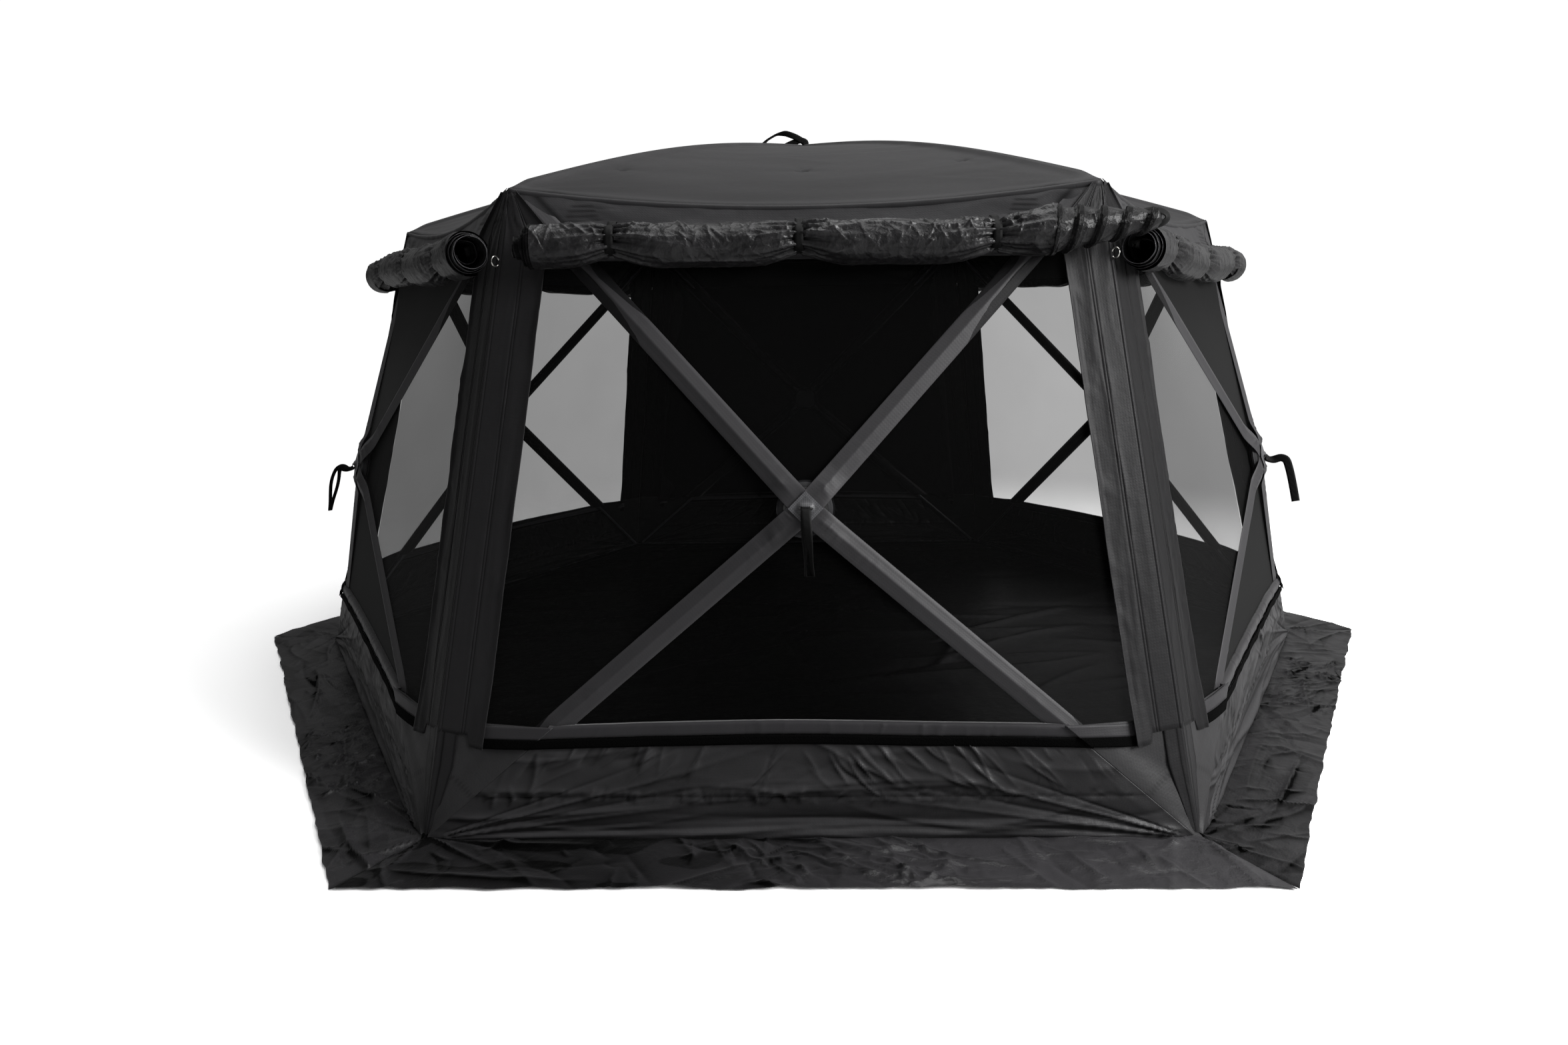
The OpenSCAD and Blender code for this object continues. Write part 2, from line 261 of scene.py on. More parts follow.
def weave_bump(tree, uv, thread, strength):
    """Crossed threads."""
    waves = []
    for direction in "XY":
        scale = WAVE_SCALE / thread
        wave = node(tree, "ShaderNodeTexWave", wave_type="BANDS", bands_direction=direction, Scale=scale)
        link(tree, uv, wave.inputs["Vector"])
        waves.append(wave.outputs["Fac"])
    bump = node(tree, "ShaderNodeBump", Strength=strength, Distance=0.0004)
    link(tree, math_node(tree, "MULTIPLY", *waves), bump.inputs["Height"])
    return bump


ROUGH_SWING = 0.18
GLOSS_LIMIT = 1.5
WAVE_SCALE = 0.05  # wave texture scale for a thread size of 1


def cloth(
    name, colour, rough=0.5, spec=0.5, sheen=0.15, mottle=0.12, weave=0.25, crumple=0.3,
    thread=0.0012, wrinkle_size=0.06, facets=0.0, facet_size=0.03, inside=1.0,
):
    """Woven cloth: weave, wrinkles, mottling, lines, painted light and painted shade from the tone attribute,
    which also scales the gloss, and painted shade on faces that look into the shelter.
    """
    mat, tree, bsdf = new_material(name)
    coord = node(tree, "ShaderNodeTexCoord").outputs["Object"]
    uv = node(tree, "ShaderNodeUVMap", uv_map="UVMap").outputs["UV"]
    big = node(tree, "ShaderNodeTexNoise", Scale=3.0, Detail=4.0, Roughness=0.55)
    fine = node(tree, "ShaderNodeTexNoise", Scale=1.0 / wrinkle_size, Detail=6.0, Roughness=0.6)
    link(tree, coord, big.inputs["Vector"])
    link(tree, coord, fine.inputs["Vector"])
    tone = node(tree, "ShaderNodeAttribute", attribute_name="tone").outputs["Fac"]
    broad = math_node(tree, "MULTIPLY", math_node(tree, "SUBTRACT", big.outputs["Fac"], 0.5), 2 * mottle)
    close = math_node(tree, "MULTIPLY", math_node(tree, "SUBTRACT", fine.outputs["Fac"], 0.5), mottle)
    swing = math_node(tree, "ADD", broad, close)
    value = math_node(tree, "ADD", math_node(tree, "ADD", swing, 1.0), tone)
    # painted shade: faces that look into the shelter are darkened
    if inside < 1:
        value = math_node(tree, "MULTIPLY", value, painted_inside_shade(tree, inside))
    tint(tree, bsdf, colour, value)
    uneven = math_node(tree, "MULTIPLY", fine.outputs["Fac"], ROUGH_SWING)
    link(tree, math_node(tree, "ADD", uneven, rough - ROUGH_SWING / 2), bsdf.inputs["Roughness"])
    # the tone also scales the specular, so painted shade dulls reflections and painted light brightens them
    gloss = math_node(tree, "MAXIMUM", math_node(tree, "ADD", tone, 1.0), 0.0)
    gloss = math_node(tree, "MINIMUM", gloss, GLOSS_LIMIT)
    link(tree, math_node(tree, "MULTIPLY", gloss, spec), bsdf.inputs["Specular IOR Level"])
    bsdf.inputs["Sheen Weight"].default_value = sheen
    bsdf.inputs["Sheen Roughness"].default_value = 0.5
    bump_fine = weave_bump(tree, uv, thread, weave)
    bump = node(tree, "ShaderNodeBump", Strength=crumple, Distance=0.006)
    link(tree, fine.outputs["Fac"], bump.inputs["Height"])
    link(tree, bump_fine.outputs[0], bump.inputs["Normal"])
    last = bump
    if facets:
        last = add_facets(tree, coord, fine, bump, facets, facet_size)
    link(tree, last.outputs[0], bsdf.inputs["Normal"])
    return mat


def painted_inside_shade(tree, inside):
    """1 on faces that look away from the shelter's middle, and the given share on faces that look in: painted
    shade on the inside.
    """
    geometry = node(tree, "ShaderNodeNewGeometry")
    facing = node(tree, "ShaderNodeVectorMath", operation="DOT_PRODUCT")
    link(tree, geometry.outputs["Normal"], facing.inputs[0])
    link(tree, geometry.outputs["Position"], facing.inputs[1])
    outward = math_node(tree, "GREATER_THAN", facing.outputs["Value"], 0.0)
    return math_node(tree, "ADD", math_node(tree, "MULTIPLY", outward, 1 - inside), inside)


def add_facets(tree, coord, distort, bump, strength, size):
    """Crisp crumples: the sharp ridges between Voronoi cells at two sizes, bent by noise."""
    bent = node(tree, "ShaderNodeVectorMath", operation="MULTIPLY_ADD")
    link(tree, distort.outputs["Color"], bent.inputs[0])
    bent.inputs[1].default_value = (size, size, size)
    link(tree, coord, bent.inputs[2])
    for scale, part in ((1.0, 0.6), (0.45, 0.3)):
        cells = node(tree, "ShaderNodeTexVoronoi", Scale=1 / (size * scale), feature="F1")
        link(tree, bent.outputs[0], cells.inputs["Vector"])
        crisp = node(tree, "ShaderNodeBump", Strength=strength * part, Distance=size * scale * 0.35)
        link(tree, cells.outputs["Distance"], crisp.inputs["Height"])
        link(tree, bump.outputs[0], crisp.inputs["Normal"])
        bump = crisp
    return bump


def screen_material():
    """Fine mesh: see-through face on, closing up as the view slants."""
    mat, tree, bsdf = new_material("screen_mesh")
    bsdf.inputs["Base Color"].default_value = (0.003, 0.003, 0.003, 1)
    bsdf.inputs["Roughness"].default_value = 0.8
    bsdf.inputs["Specular IOR Level"].default_value = 0.03
    bsdf.inputs["Sheen Weight"].default_value = 0.06
    geometry = node(tree, "ShaderNodeNewGeometry")
    facing = node(tree, "ShaderNodeVectorMath", operation="DOT_PRODUCT")
    link(tree, geometry.outputs["Normal"], facing.inputs[0])
    link(tree, geometry.outputs["Incoming"], facing.inputs[1])
    cosine = math_node(tree, "MAXIMUM", math_node(tree, "ABSOLUTE", facing.outputs["Value"]), 0.02)
    blocked = math_node(tree, "MULTIPLY", math_node(tree, "DIVIDE", 1.0, cosine), 0.20)
    across = math_node(tree, "MAXIMUM", math_node(tree, "SUBTRACT", 1.0, blocked), 0.0)
    coord = node(tree, "ShaderNodeTexCoord").outputs["Object"]
    cloud = node(tree, "ShaderNodeTexNoise", Scale=5.0, Detail=3.0)
    link(tree, coord, cloud.inputs["Vector"])
    place = node(tree, "ShaderNodeSeparateXYZ")
    link(tree, geometry.outputs["Position"], place.inputs[0])
    # painted light: the mesh is more see-through towards the right, standing in for the brighter light from
    # that side
    lit = math_node(tree, "ADD", math_node(tree, "MULTIPLY", place.outputs["X"], 0.085), 0.71)
    even = math_node(tree, "ADD", math_node(tree, "MULTIPLY", cloud.outputs["Fac"], 0.06), lit)
    clear = math_node(tree, "MULTIPLY", across, even)
    glass = node(tree, "ShaderNodeBsdfTransparent")
    mix = node(tree, "ShaderNodeMixShader")
    link(tree, clear, mix.inputs[0])
    link(tree, bsdf.outputs[0], mix.inputs[1])
    link(tree, glass.outputs[0], mix.inputs[2])
    link(tree, mix.outputs[0], tree.nodes["Material Output"].inputs["Surface"])
    return mat


def plain(name, colour, rough, metallic=0.0, grain=0.2, grain_size=0.004):
    """Moulded plastic, rod or metal with a fine grain and small colour changes."""
    mat, tree, bsdf = new_material(name)
    coord = node(tree, "ShaderNodeTexCoord").outputs["Object"]
    tex = node(tree, "ShaderNodeTexNoise", Scale=1 / grain_size, Detail=4.0)
    link(tree, coord, tex.inputs["Vector"])
    value = math_node(tree, "ADD", math_node(tree, "MULTIPLY", tex.outputs["Fac"], 0.3), 0.85)
    tint(tree, bsdf, colour, value)
    uneven = math_node(tree, "MULTIPLY", tex.outputs["Fac"], 0.2)
    link(tree, math_node(tree, "ADD", uneven, rough - 0.1), bsdf.inputs["Roughness"])
    bsdf.inputs["Metallic"].default_value = metallic
    bump = node(tree, "ShaderNodeBump", Strength=grain, Distance=0.0005)
    link(tree, tex.outputs["Fac"], bump.inputs["Height"])
    link(tree, bump.outputs[0], bsdf.inputs["Normal"])
    return mat


MAT = {
    "shell": cloth("shell_cloth", (0.0108, 0.0104, 0.0112), rough=0.5, spec=0.16, sheen=0.05, inside=0.3),
    "roof": cloth("roof_cloth", (0.019, 0.0185, 0.0197), rough=0.5, spec=0.18, sheen=0.04, crumple=0.2),
    "kick": cloth(
        "kick_cloth", (0.016, 0.0155, 0.0165), rough=0.46, spec=0.25, sheen=0.05, crumple=0.3, inside=0.2
    ),
    "band": cloth("band_cloth", (0.020, 0.0195, 0.021), rough=0.5, spec=0.22, sheen=0.05, inside=0.3),
    "gusset": cloth("gusset_cloth", (0.0225, 0.022, 0.023), rough=0.5, spec=0.22, sheen=0.05, inside=0.2),
    "skirt": cloth(
        "skirt_cloth", (0.012, 0.0115, 0.0125), rough=0.38, spec=0.35, sheen=0.03,
        crumple=0.4, facets=0.25, facet_size=0.07,
    ),
    "floor": cloth("floor_cloth", (0.004, 0.0039, 0.0041), rough=0.34, spec=0.16, sheen=0.0, crumple=0.5),
    "panel": cloth(
        "panel_cloth", (0.010, 0.0096, 0.0104), rough=0.34, spec=0.34, sheen=0.02,
        crumple=0.2, wrinkle_size=0.03, facets=0.7, facet_size=0.030,
    ),
    "hung": cloth("hung_cloth", (0.004, 0.0035, 0.004), rough=0.6, spec=0.15, sheen=0.0, crumple=0.3),
    "sleeve": cloth("sleeve_cloth", (0.030, 0.029, 0.031), rough=0.5, spec=0.22, sheen=0.05, crumple=0.15),
    "hem": cloth("hem_tape", (0.018, 0.017, 0.019), rough=0.5, spec=0.22, crumple=0.15),
    "hook": cloth(
        "hook_tape", (0.0012, 0.0012, 0.0012), rough=0.8, spec=0.03, sheen=0.0,
        crumple=0.5, wrinkle_size=0.004,
    ),
    "webbing": cloth(
        "webbing", (0.003, 0.003, 0.003), rough=0.6, spec=0.14, sheen=0.02,
        weave=0.8, thread=0.003, crumple=0.1,
    ),
    "patch": cloth(
        "patch_cloth", (0.060, 0.060, 0.064), rough=0.42, spec=0.4, weave=1.0, thread=0.004, crumple=0.1
    ),
    "lining": cloth("lining_cloth", (0.008, 0.008, 0.009), rough=0.6, spec=0.15),
    "screen": screen_material(),
    "rod": plain("pole_rod", (0.03, 0.03, 0.034), 0.35),
    "hub": plain("hub_plastic", (0.02, 0.02, 0.02), 0.5),
    "ring": plain("ring_steel", (0.62, 0.61, 0.58), 0.28, metallic=1.0),
}


# ---- mesh helpers ----
def sheet(name, points, material, tone=None, closed=False, thick=0.0):
    """A smooth quad sheet from a rows x cols x 3 array. closed joins the last column to the first."""
    rows, cols = points.shape[:2]
    verts = points.reshape(-1, 3)
    index = np.arange(rows * cols).reshape(rows, cols)
    right = np.roll(index, -1, axis=1) if closed else index[:, 1:]
    left = index if closed else index[:, :-1]
    faces = np.stack([left[:-1], right[:-1], right[1:], left[1:]], axis=-1).reshape(-1, 4)
    mesh = bpy.data.meshes.new(name)
    mesh.from_pydata(verts.tolist(), [], faces.tolist())
    mesh.shade_smooth()
    across = np.linalg.norm(np.diff(points, axis=1), axis=2)
    down = np.linalg.norm(np.diff(points, axis=0), axis=2)
    u = np.concatenate([np.zeros((rows, 1)), np.cumsum(across, axis=1)], axis=1)
    v = np.concatenate([np.zeros((1, cols)), np.cumsum(down, axis=0)], axis=0)
    uv = np.stack([u, v], axis=-1).reshape(-1, 2)
    layer = mesh.uv_layers.new(name="UVMap")
    loops = np.zeros(len(mesh.loops), int)
    mesh.loops.foreach_get("vertex_index", loops)
    layer.data.foreach_set("uv", uv[loops].astype(np.float32).ravel())
    shade = np.zeros(rows * cols) if tone is None else np.asarray(tone, float).ravel()
    mesh.attributes.new("tone", "FLOAT", "POINT").data.foreach_set("value", shade.astype(np.float32))
    obj = bpy.data.objects.new(name, mesh)
    bpy.context.scene.collection.objects.link(obj)
    mesh.materials.append(MAT[material])
    if thick:
        solid = obj.modifiers.new("thickness", "SOLIDIFY")
        solid.thickness = thick
        solid.offset = 0
    return obj


def ribbon(path, side, width, cols=4):
    """Rows along a path, cols across it in the side direction."""
    path = np.asarray(path, float)
    side = np.broadcast_to(np.asarray(side, float), path.shape)
    offsets = np.linspace(-width / 2, width / 2, cols)
    return path[:, None, :] + side[:, None, :] * offsets[None, :, None]


def between(a, b, n_across):
    """Rows of points from curve a to curve b."""
    t = np.linspace(0, 1, n_across)
    return a[:, None, :] * (1 - t)[None, :, None] + b[:, None, :] * t[None, :, None]


def ride(obj, replaced, body):
    """obj stands in for a CAD node and moves with a body."""
    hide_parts(replaced)
    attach(obj, body)


def gather(obj, away, anchor):
    """obj gets its own copy of its mesh data; away and anchor are not used."""
    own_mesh(obj)


def fold_onto(obj, replaced, pole, towards):
    """obj stands in for a CAD node and rides the pole; towards is on the cloth's side."""
    ride(obj, replaced, pole)
    start, g = pole_ray(pole)
    away = towards - start
    gather(obj, unit(away - (away @ g) * g), start)


# ---- walls ----
def corner_edge(w, side, z):
    """Points on a wall's corner edge at heights z."""
    t = (np.asarray(z) / ROOF_Z)[:, None]
    return w.base[side] * (1 - t) + w.roof[side] * t


def pole_line(w, side, z):
    """Points on the broken line base corner, hub, roof corner at heights z."""
    z = np.asarray(z)
    low = (z / w.hub[2])[:, None]
    high = ((z - w.hub[2]) / (ROOF_Z - w.hub[2]))[:, None]
    lower = w.base[side] * (1 - low) + w.hub * low
    upper = w.hub * (1 - high) + w.roof[side] * high
    return np.where((z < w.hub[2])[:, None], lower, upper)


def side_sign(side):
    return -1.0 if side == 0 else 1.0


# painted shade: the corner strips on every wall but the front are darkened, standing in for less light on
# them
SIDE_PAINTED_SHADE = 0.38


def side_facet(w, side):
    """Outward normal of the facet between a corner edge and the poles, and the direction into it."""
    edge = w.roof[side] - w.base[side]
    to_hub = w.hub - w.base[side]
    n = outward(unit(np.cross(edge, to_hub)), w)
    inward = unit(np.cross(n, unit(edge)))
    return n, inward if inward @ to_hub >= 0 else -inward


def build_wall(w):
    for side, letter in enumerate("ab"):
        n, inward = side_facet(w, side)
        build_corner_strip(w, side, letter, n, inward)
        build_side_screen(w, side, letter, n, inward)
        build_gusset(w, side, letter, n)
        build_side_sill(w, side, letter, n, inward)
        build_corner_post(w, side, letter, n, inward)
    build_bottom(w)
    build_top(w)
    build_sleeves(w)
    build_hub_pocket(w)
    build_hub_patch(w)


STRIP_FOOT = 0.262
FLAP_DROP = 0.026


def build_corner_strip(w, side, letter, n, inward):
    """Plain cloth along a corner from the roof down to the sill, with a loose flap at its free edge."""
    z = np.linspace(STRIP_FOOT, ROOF_Z - 0.004, 96)
    cols = strip_columns()
    flap = FLAP_DROP * smooth((cols - 0.62) / 0.04)
    heights = z[:, None] - flap[None, :] * (1 - smooth((z[:, None] - STRIP_FOOT) / 0.35))
    edge = np.stack([corner_edge(w, side, heights[:, i]) for i in range(len(cols))], axis=1)
    width = np.minimum(STRIP_W, ((pole_line(w, side, z) - corner_edge(w, side, z)) @ inward) + 0.02)
    pts = edge + inward * (cols[None, :, None] * width[:, None, None])
    lift = strip_relief(z, cols, side, w.k)
    meet = 1 - smooth(cols / 0.07)[None, :, None]
    pts = pts + n * lift[..., None] * (1 - meet) + polar(60 * (w.k + side), 1, 0) * 0.005 * meet
    # painted shade on the strips of the side walls
    tone = strip_tone(z, cols) - (0.0 if w.k == FRONT_WALL else SIDE_PAINTED_SHADE)
    strip = sheet(f"corner_strip_{w.k}_{letter}", pts, "shell", tone, thick=CLOTH)
    fold_onto(strip, "corner_strips", f"upper_pole_{w.k}_{letter}", w.base[side])


def build_side_screen(w, side, letter, n, inward):
    """Mesh between a corner strip and the poles."""
    z = np.linspace(SILL_Z - 0.004, ROOF_Z - 0.14, 60)
    edge = corner_edge(w, side, z) + inward * (STRIP_W - 0.012)
    pts = between(edge, pole_line(w, side, z), 24)
    s = np.linspace(0, 1, 24)[None, :]
    sag = -0.006 * np.sin(np.pi * s) * np.sin(np.pi * (z[:, None] - z[0]) / (z[-1] - z[0]))
    pts = pts + n * (sag - 0.003)[..., None]
    screen = sheet(f"wall_screen_{w.k}_{letter}", pts, "screen")
    fold_onto(screen, "wall_screens", f"upper_pole_{w.k}_{letter}", w.base[side])


def build_gusset(w, side, letter, n):
    """Cloth below the sill between a corner and the lower pole, with two stitched arcs round the corner."""
    z = np.linspace(0.004, SILL_Z - 0.002, 50)
    pts = between(corner_edge(w, side, z), pole_line(w, side, z), 44)
    s = np.linspace(0, 1, 44)[None, :]
    long_way = unit(w.hub - w.base[side])
    folds = wobble(stretch(pts, w.base[side], long_way, 0.25), 0.05, 3 + w.k) * 0.004
    ridge = w.out * (RIDGE_OUT * smooth((s - 0.1) / 0.9))[..., None]
    pts = pts + n * (folds * np.sin(np.pi * s))[..., None] + ridge
    from_corner = np.linalg.norm(pts - w.base[side], axis=2)
    arcs = -0.30 * sum(hump(from_corner, r, 0.0022) for r in (0.165, 0.172))
    gusset = sheet(f"corner_gusset_{w.k}_{letter}", pts, "gusset", arcs, thick=CLOTH)
    fold_onto(gusset, "kick_panels", f"lower_pole_{w.k}_{letter}", w.base[side])


def build_corner_post(w, side, letter, n, inward):
    """Narrow seamed cloth along the foot of a corner, below the strip."""
    z = np.linspace(0.003, 0.275, 30)
    cols = np.linspace(0, 1, 14)
    narrow = np.minimum(0.050, 0.010 + z * 0.22)
    pts = corner_edge(w, side, z)[:, None, :] + inward * (cols[None, :, None] * narrow[:, None, None])
    meet = 1 - smooth(cols / 0.15)[None, :, None]
    wave = 0.0015 * wobble(pts, 0.03, 8 + w.k)[..., None] + 0.0035
    pts = pts + n * wave * (1 - meet) + polar(60 * (w.k + side), 1, 0) * 0.004 * meet
    seams = -0.75 * hump(cols, 0.3, 0.06) - 0.70 * hump(cols, 0.97, 0.07)
    tone = np.broadcast_to(seams, pts.shape[:2])
    post = sheet(f"corner_post_{w.k}_{letter}", pts, "shell", tone, thick=CLOTH)
    fold_onto(post, "corner_strips", f"lower_pole_{w.k}_{letter}", w.base[side])


SEAMS = (0.05, 0.47, 0.53)


def strip_columns():
    """Columns across a corner strip, 0 at the corner and 1 at the free edge, closer at the seams."""
    cols = set(np.linspace(0, 1, 27).tolist())
    for s in SEAMS:
        for d in (-0.022, -0.009, 0.0, 0.009, 0.022):
            cols.add(s + d)
    cols |= {0.965, 0.985}
    return np.array(sorted(c for c in cols if 0 <= c <= 1))


def strip_relief(z, cols, side, k):
    zz, cc = np.meshgrid(z, cols, indexing="ij")
    across = cc * STRIP_W
    seed = 500 + 10 * k + side
    long_folds = creases(
        zz, across, 12, seed, ((0.3, 1.5), (0.02, 0.12)), 0.0, 0.03, 0.35, 0.006, 0.0018
    )
    ruffle = creases(
        zz, across, 60, seed + 1, ((0.25, 1.55), (0.050, 0.078)), 1.2, 0.5, 0.012, 0.0025, 0.0014
    )
    loose = creases(
        zz, across, 30, seed + 2, ((0.3, 1.5), (0.100, 0.128)), 0.7, 0.4, 0.040, 0.005, 0.0035
    )
    groove = sum(hump(cc, s, 0.012) for s in SEAMS)
    pts = np.stack([across, zz, np.full_like(zz, 3.1 * k + side)], axis=-1)
    if k == FRONT_WALL + 1 and side == 0:
        loose = loose + creases(
            zz, across, 70, seed + 5, ((0.5, 1.45), (0.085, 0.120)), 1.1, 0.35, 0.018, 0.003, 0.0045
        )
    edge = smooth((cc - 0.88) / 0.12) * (0.005 + 0.004 * wobble(pts, 0.12, 4))
    tail = smooth((0.42 - zz) / 0.16) * smooth((cc - 0.6) / 0.3) * 0.008
    pleat_zone = smooth((zz - (ROOF_Z - 0.34)) / 0.32)
    headings = (-1.50, -1.38, -1.27, -1.14, -1.02, -0.90)
    pleats = fan(across, zz, 0.0, ROOF_Z, headings, 0.035, 0.004, 0.5) * pleat_zone
    return 0.004 + long_folds + ruffle + loose * 0.7 - 0.0012 * groove + edge + tail + pleats


def strip_tone(z, cols):
    zz, cc = np.meshgrid(z, cols, indexing="ij")
    tone = np.zeros_like(zz)
    for s in SEAMS:
        tone -= 0.45 * hump(cc, s, 0.010)
    tone += 0.25 * smooth((cc - 0.97) / 0.03)
    tone += 0.25 * smooth((0.03 - cc) / 0.03)
    return tone


RIDGE_OUT = 0.010


def widen(points, more):
    """Rows stretched past both ends by the same distance."""
    points = points.copy()
    along = points[:, -1] - points[:, 0]
    along = along / np.linalg.norm(along, axis=1, keepdims=True)
    cols = points.shape[1]
    points += np.linspace(-more, more, cols)[None, :, None] * along[:, None, :]
    return points


def bottom_rows(w, z, cols):
    left = pole_line(w, 0, z)
    right = pole_line(w, 1, z)
    return between(left, right, cols)


SILL_BOW = 0.013


def kick_relief(u, v, seed):
    """Folds of a kick panel: gathers below the hem, ruffles at the seam, pulls from the base corners."""
    seam_z = 0.114
    gather_left = creases(u, v, 45, seed, ((-0.85, -0.05), (0.15, 0.25)), 0.75, 0.25, 0.060, 0.006, 0.0045)
    gather_right = creases(u, v, 60, seed + 4, ((0, 0.85), (0.15, 0.25)), -0.85, 0.25, 0.055, 0.005, 0.0050)
    ruffle = creases(
        u, v, 150, seed + 1, ((-0.8, 0.8), (seam_z - 0.010, seam_z + 0.014)), 0.8, 0.6, 0.018, 0.004, 0.0028
    )
    low = creases(u, v, 16, seed + 2, ((-0.8, 0.8), (0.010, 0.100)), 0.0, 0.05, 0.45, 0.010, 0.0060)
    slack = creases(u, v, 14, seed + 3, ((-0.8, 0.8), (0.12, 0.24)), 0.0, 0.12, 0.30, 0.012, 0.0035)
    pulls = (0.02, 0.07, 0.13, 0.19, 0.26, 0.34)
    half = BASE_R / 2 - 0.02
    left = fan(u, v, -half, 0.008, pulls, 0.012, 0.010, 0.40)
    right = fan(u, v, half, 0.008, [np.pi - h for h in pulls], 0.012, 0.010, 0.40)
    belly = 0.008 * np.sin(np.pi * np.clip(v / 0.25, 0, 1)) + 0.010 * hump(v, 0.018, 0.016)
    groove = -0.003 * hump(v, seam_z, 0.004)
    folds = gather_left + gather_right + ruffle + low + slack + left + right
    return folds, belly + groove


HEM_LOW = SILL_Z - 0.042
# name, material, bottom, top, stand-off and thickness of the two strips along a sill
SILL_STRIPS = (
    ("sill_hem", "hem", HEM_LOW + 0.010, SILL_Z + 0.001, 0.010, 0.0016),
    ("hook_tape", "hook", HEM_LOW - 0.012, HEM_LOW + 0.012, 0.014, 0.0020),
)


def build_side_sill(w, side, letter, n, inward):
    """Hem and hook tape between a lower pole and the corner strip."""
    for name, material, bottom, top, out, thick in SILL_STRIPS:
        z = np.linspace(bottom, top, 6)
        start = corner_edge(w, side, z) + inward * (STRIP_W - 0.018)
        pts = between(start, pole_line(w, side, z), 70)
        s = np.linspace(0, 1, 70)[None, :]
        wave = wobble(pts, 0.09, 51 + w.k) * 0.002 * np.sin(np.pi * s)
        rise = out * (0.30 + 0.50 * smooth(s / 0.5))
        pts = pts + n * (wave + rise)[..., None] + w.out * (RIDGE_OUT * smooth(s))[..., None]
        strip = sheet(f"{name}_{w.k}_{letter}", pts, material, thick=thick)
        fold_onto(strip, "sill_strips", f"lower_pole_{w.k}_{letter}", w.base[side])


def bottom_facet(w):
    """Outward normal of the facet below the hub, and the middle of its base edge."""
    mid = (w.base[0] + w.base[1]) / 2
    return outward(np.cross(w.along, unit(w.hub - mid)), w), mid


def build_bottom(w):
    n, mid = bottom_facet(w)
    pieces = (
        (build_kick(w, n, mid), "kick_panels"),
        (build_sill_hem(w, n, mid), "sill_strips"),
        (build_hook_tape(w, n), "sill_strips"),
        (build_low_screen(w, n), "wall_screens"),
    )
    for obj, replaced in pieces:
        fold_onto(obj, replaced, f"lower_pole_{w.k}_a", w.base[1])


def build_kick(w, n, mid):
    """Plain cloth from the sill hem to the ground."""
    z = np.linspace(0.004, HEM_LOW, 58)
    pts = bottom_rows(w, z, 360)
    s = np.linspace(0, 1, 360)[None, :]
    u = (pts - mid) @ w.along
    v = np.broadcast_to(z[:, None], u.shape)
    folds, form = kick_relief(u, v, 600 + 10 * w.k)
    ends = smooth(np.minimum(s, 1 - s) / 0.03)
    bow = SILL_BOW * np.sin(np.pi * s) * smooth((v - 0.15) / (HEM_LOW - 0.15))
    pts = pts + n * ((folds + form + 0.007) * ends)[..., None] + w.out * (RIDGE_OUT * (1 - ends))[..., None]
    pts = pts + UP * bow[..., None]
    # painted light and shade on the folds, and a dark line along the seam
    tone = fold_shade(folds, u, v, 2.2) - 0.35 * hump(v / HEM_LOW, 0.46, 0.012)
    return sheet(f"kick_panel_{w.k}", pts, "kick", tone, thick=CLOTH)


def sill_rise(w, pts):
    """The hem and its tape wander and bow up between the poles."""
    bow = SILL_BOW * np.sin(np.pi * np.linspace(0, 1, pts.shape[1]))
    return wobble(pts, 0.3, 61 + w.k) * 0.004 + bow


def build_sill_hem(w, n, mid):
    z = np.append(np.linspace(HEM_LOW + 0.010, SILL_Z, 7), SILL_Z + 0.001)
    out = np.array([0.006, 0.010, 0.011, 0.011, 0.011, 0.010, 0.007, -0.006])[:, None]
    pts = widen(bottom_rows(w, z, 300), 0.014)
    u = (pts - mid) @ w.along
    v = np.broadcast_to(z[:, None], u.shape)
    puckers = creases(u, v, 60, 650 + w.k, ((-0.8, 0.8), (0.25, 0.30)), 1.3, 0.25, 0.03, 0.004, 0.0022)
    wave = wobble(pts, 0.09, 51 + w.k) * 0.002 + puckers
    pts = pts + n * (wave + out)[..., None] + UP * sill_rise(w, pts)[..., None]
    return sheet(f"sill_hem_{w.k}", pts, "hem", thick=0.0016)


def build_hook_tape(w, n):
    z = np.linspace(HEM_LOW - 0.012, HEM_LOW + 0.012, 5)
    pts = widen(bottom_rows(w, z, 160), 0.010)
    wave = wobble(pts, 0.09, 51 + w.k) * 0.003 + 0.015
    pts = pts + n * wave[..., None] + UP * sill_rise(w, pts)[..., None]
    return sheet(f"hook_tape_{w.k}", pts, "hook", thick=0.002)


def build_low_screen(w, n):
    z = np.linspace(SILL_Z - 0.003, w.hub[2] - 0.01, 40)
    return sheet(f"wall_screen_{w.k}_low", bottom_rows(w, z, 40) - n * 0.004, "screen")


PLEATS = 5


def build_top(w):
    """Band under the roof edge and the upper screen, on the top facet."""
    mid = (w.roof[0] + w.roof[1]) / 2
    down = w.hub - mid
    height = np.linalg.norm(down)
    n = outward(np.cross(w.along, -unit(down)), w)
    upper = f"upper_pole_{w.k}_b"
    fold_onto(build_band(w, n, mid, height), "top_bands", upper, w.roof[0])
    pts = top_rows(w, np.linspace(BAND_W / height, 0.985, 44), 40) - n * 0.004
    fold_onto(sheet(f"wall_screen_{w.k}_top", pts, "screen"), "wall_screens", upper, w.roof[0])


def top_rows(w, v, cols):
    """Rows across the top facet; v runs from the roof edge (0) to the hub (1)."""
    left = w.roof[0] + (w.hub - w.roof[0]) * v[:, None]
    right = w.roof[1] + (w.hub - w.roof[1]) * v[:, None]
    return between(left, right, cols)


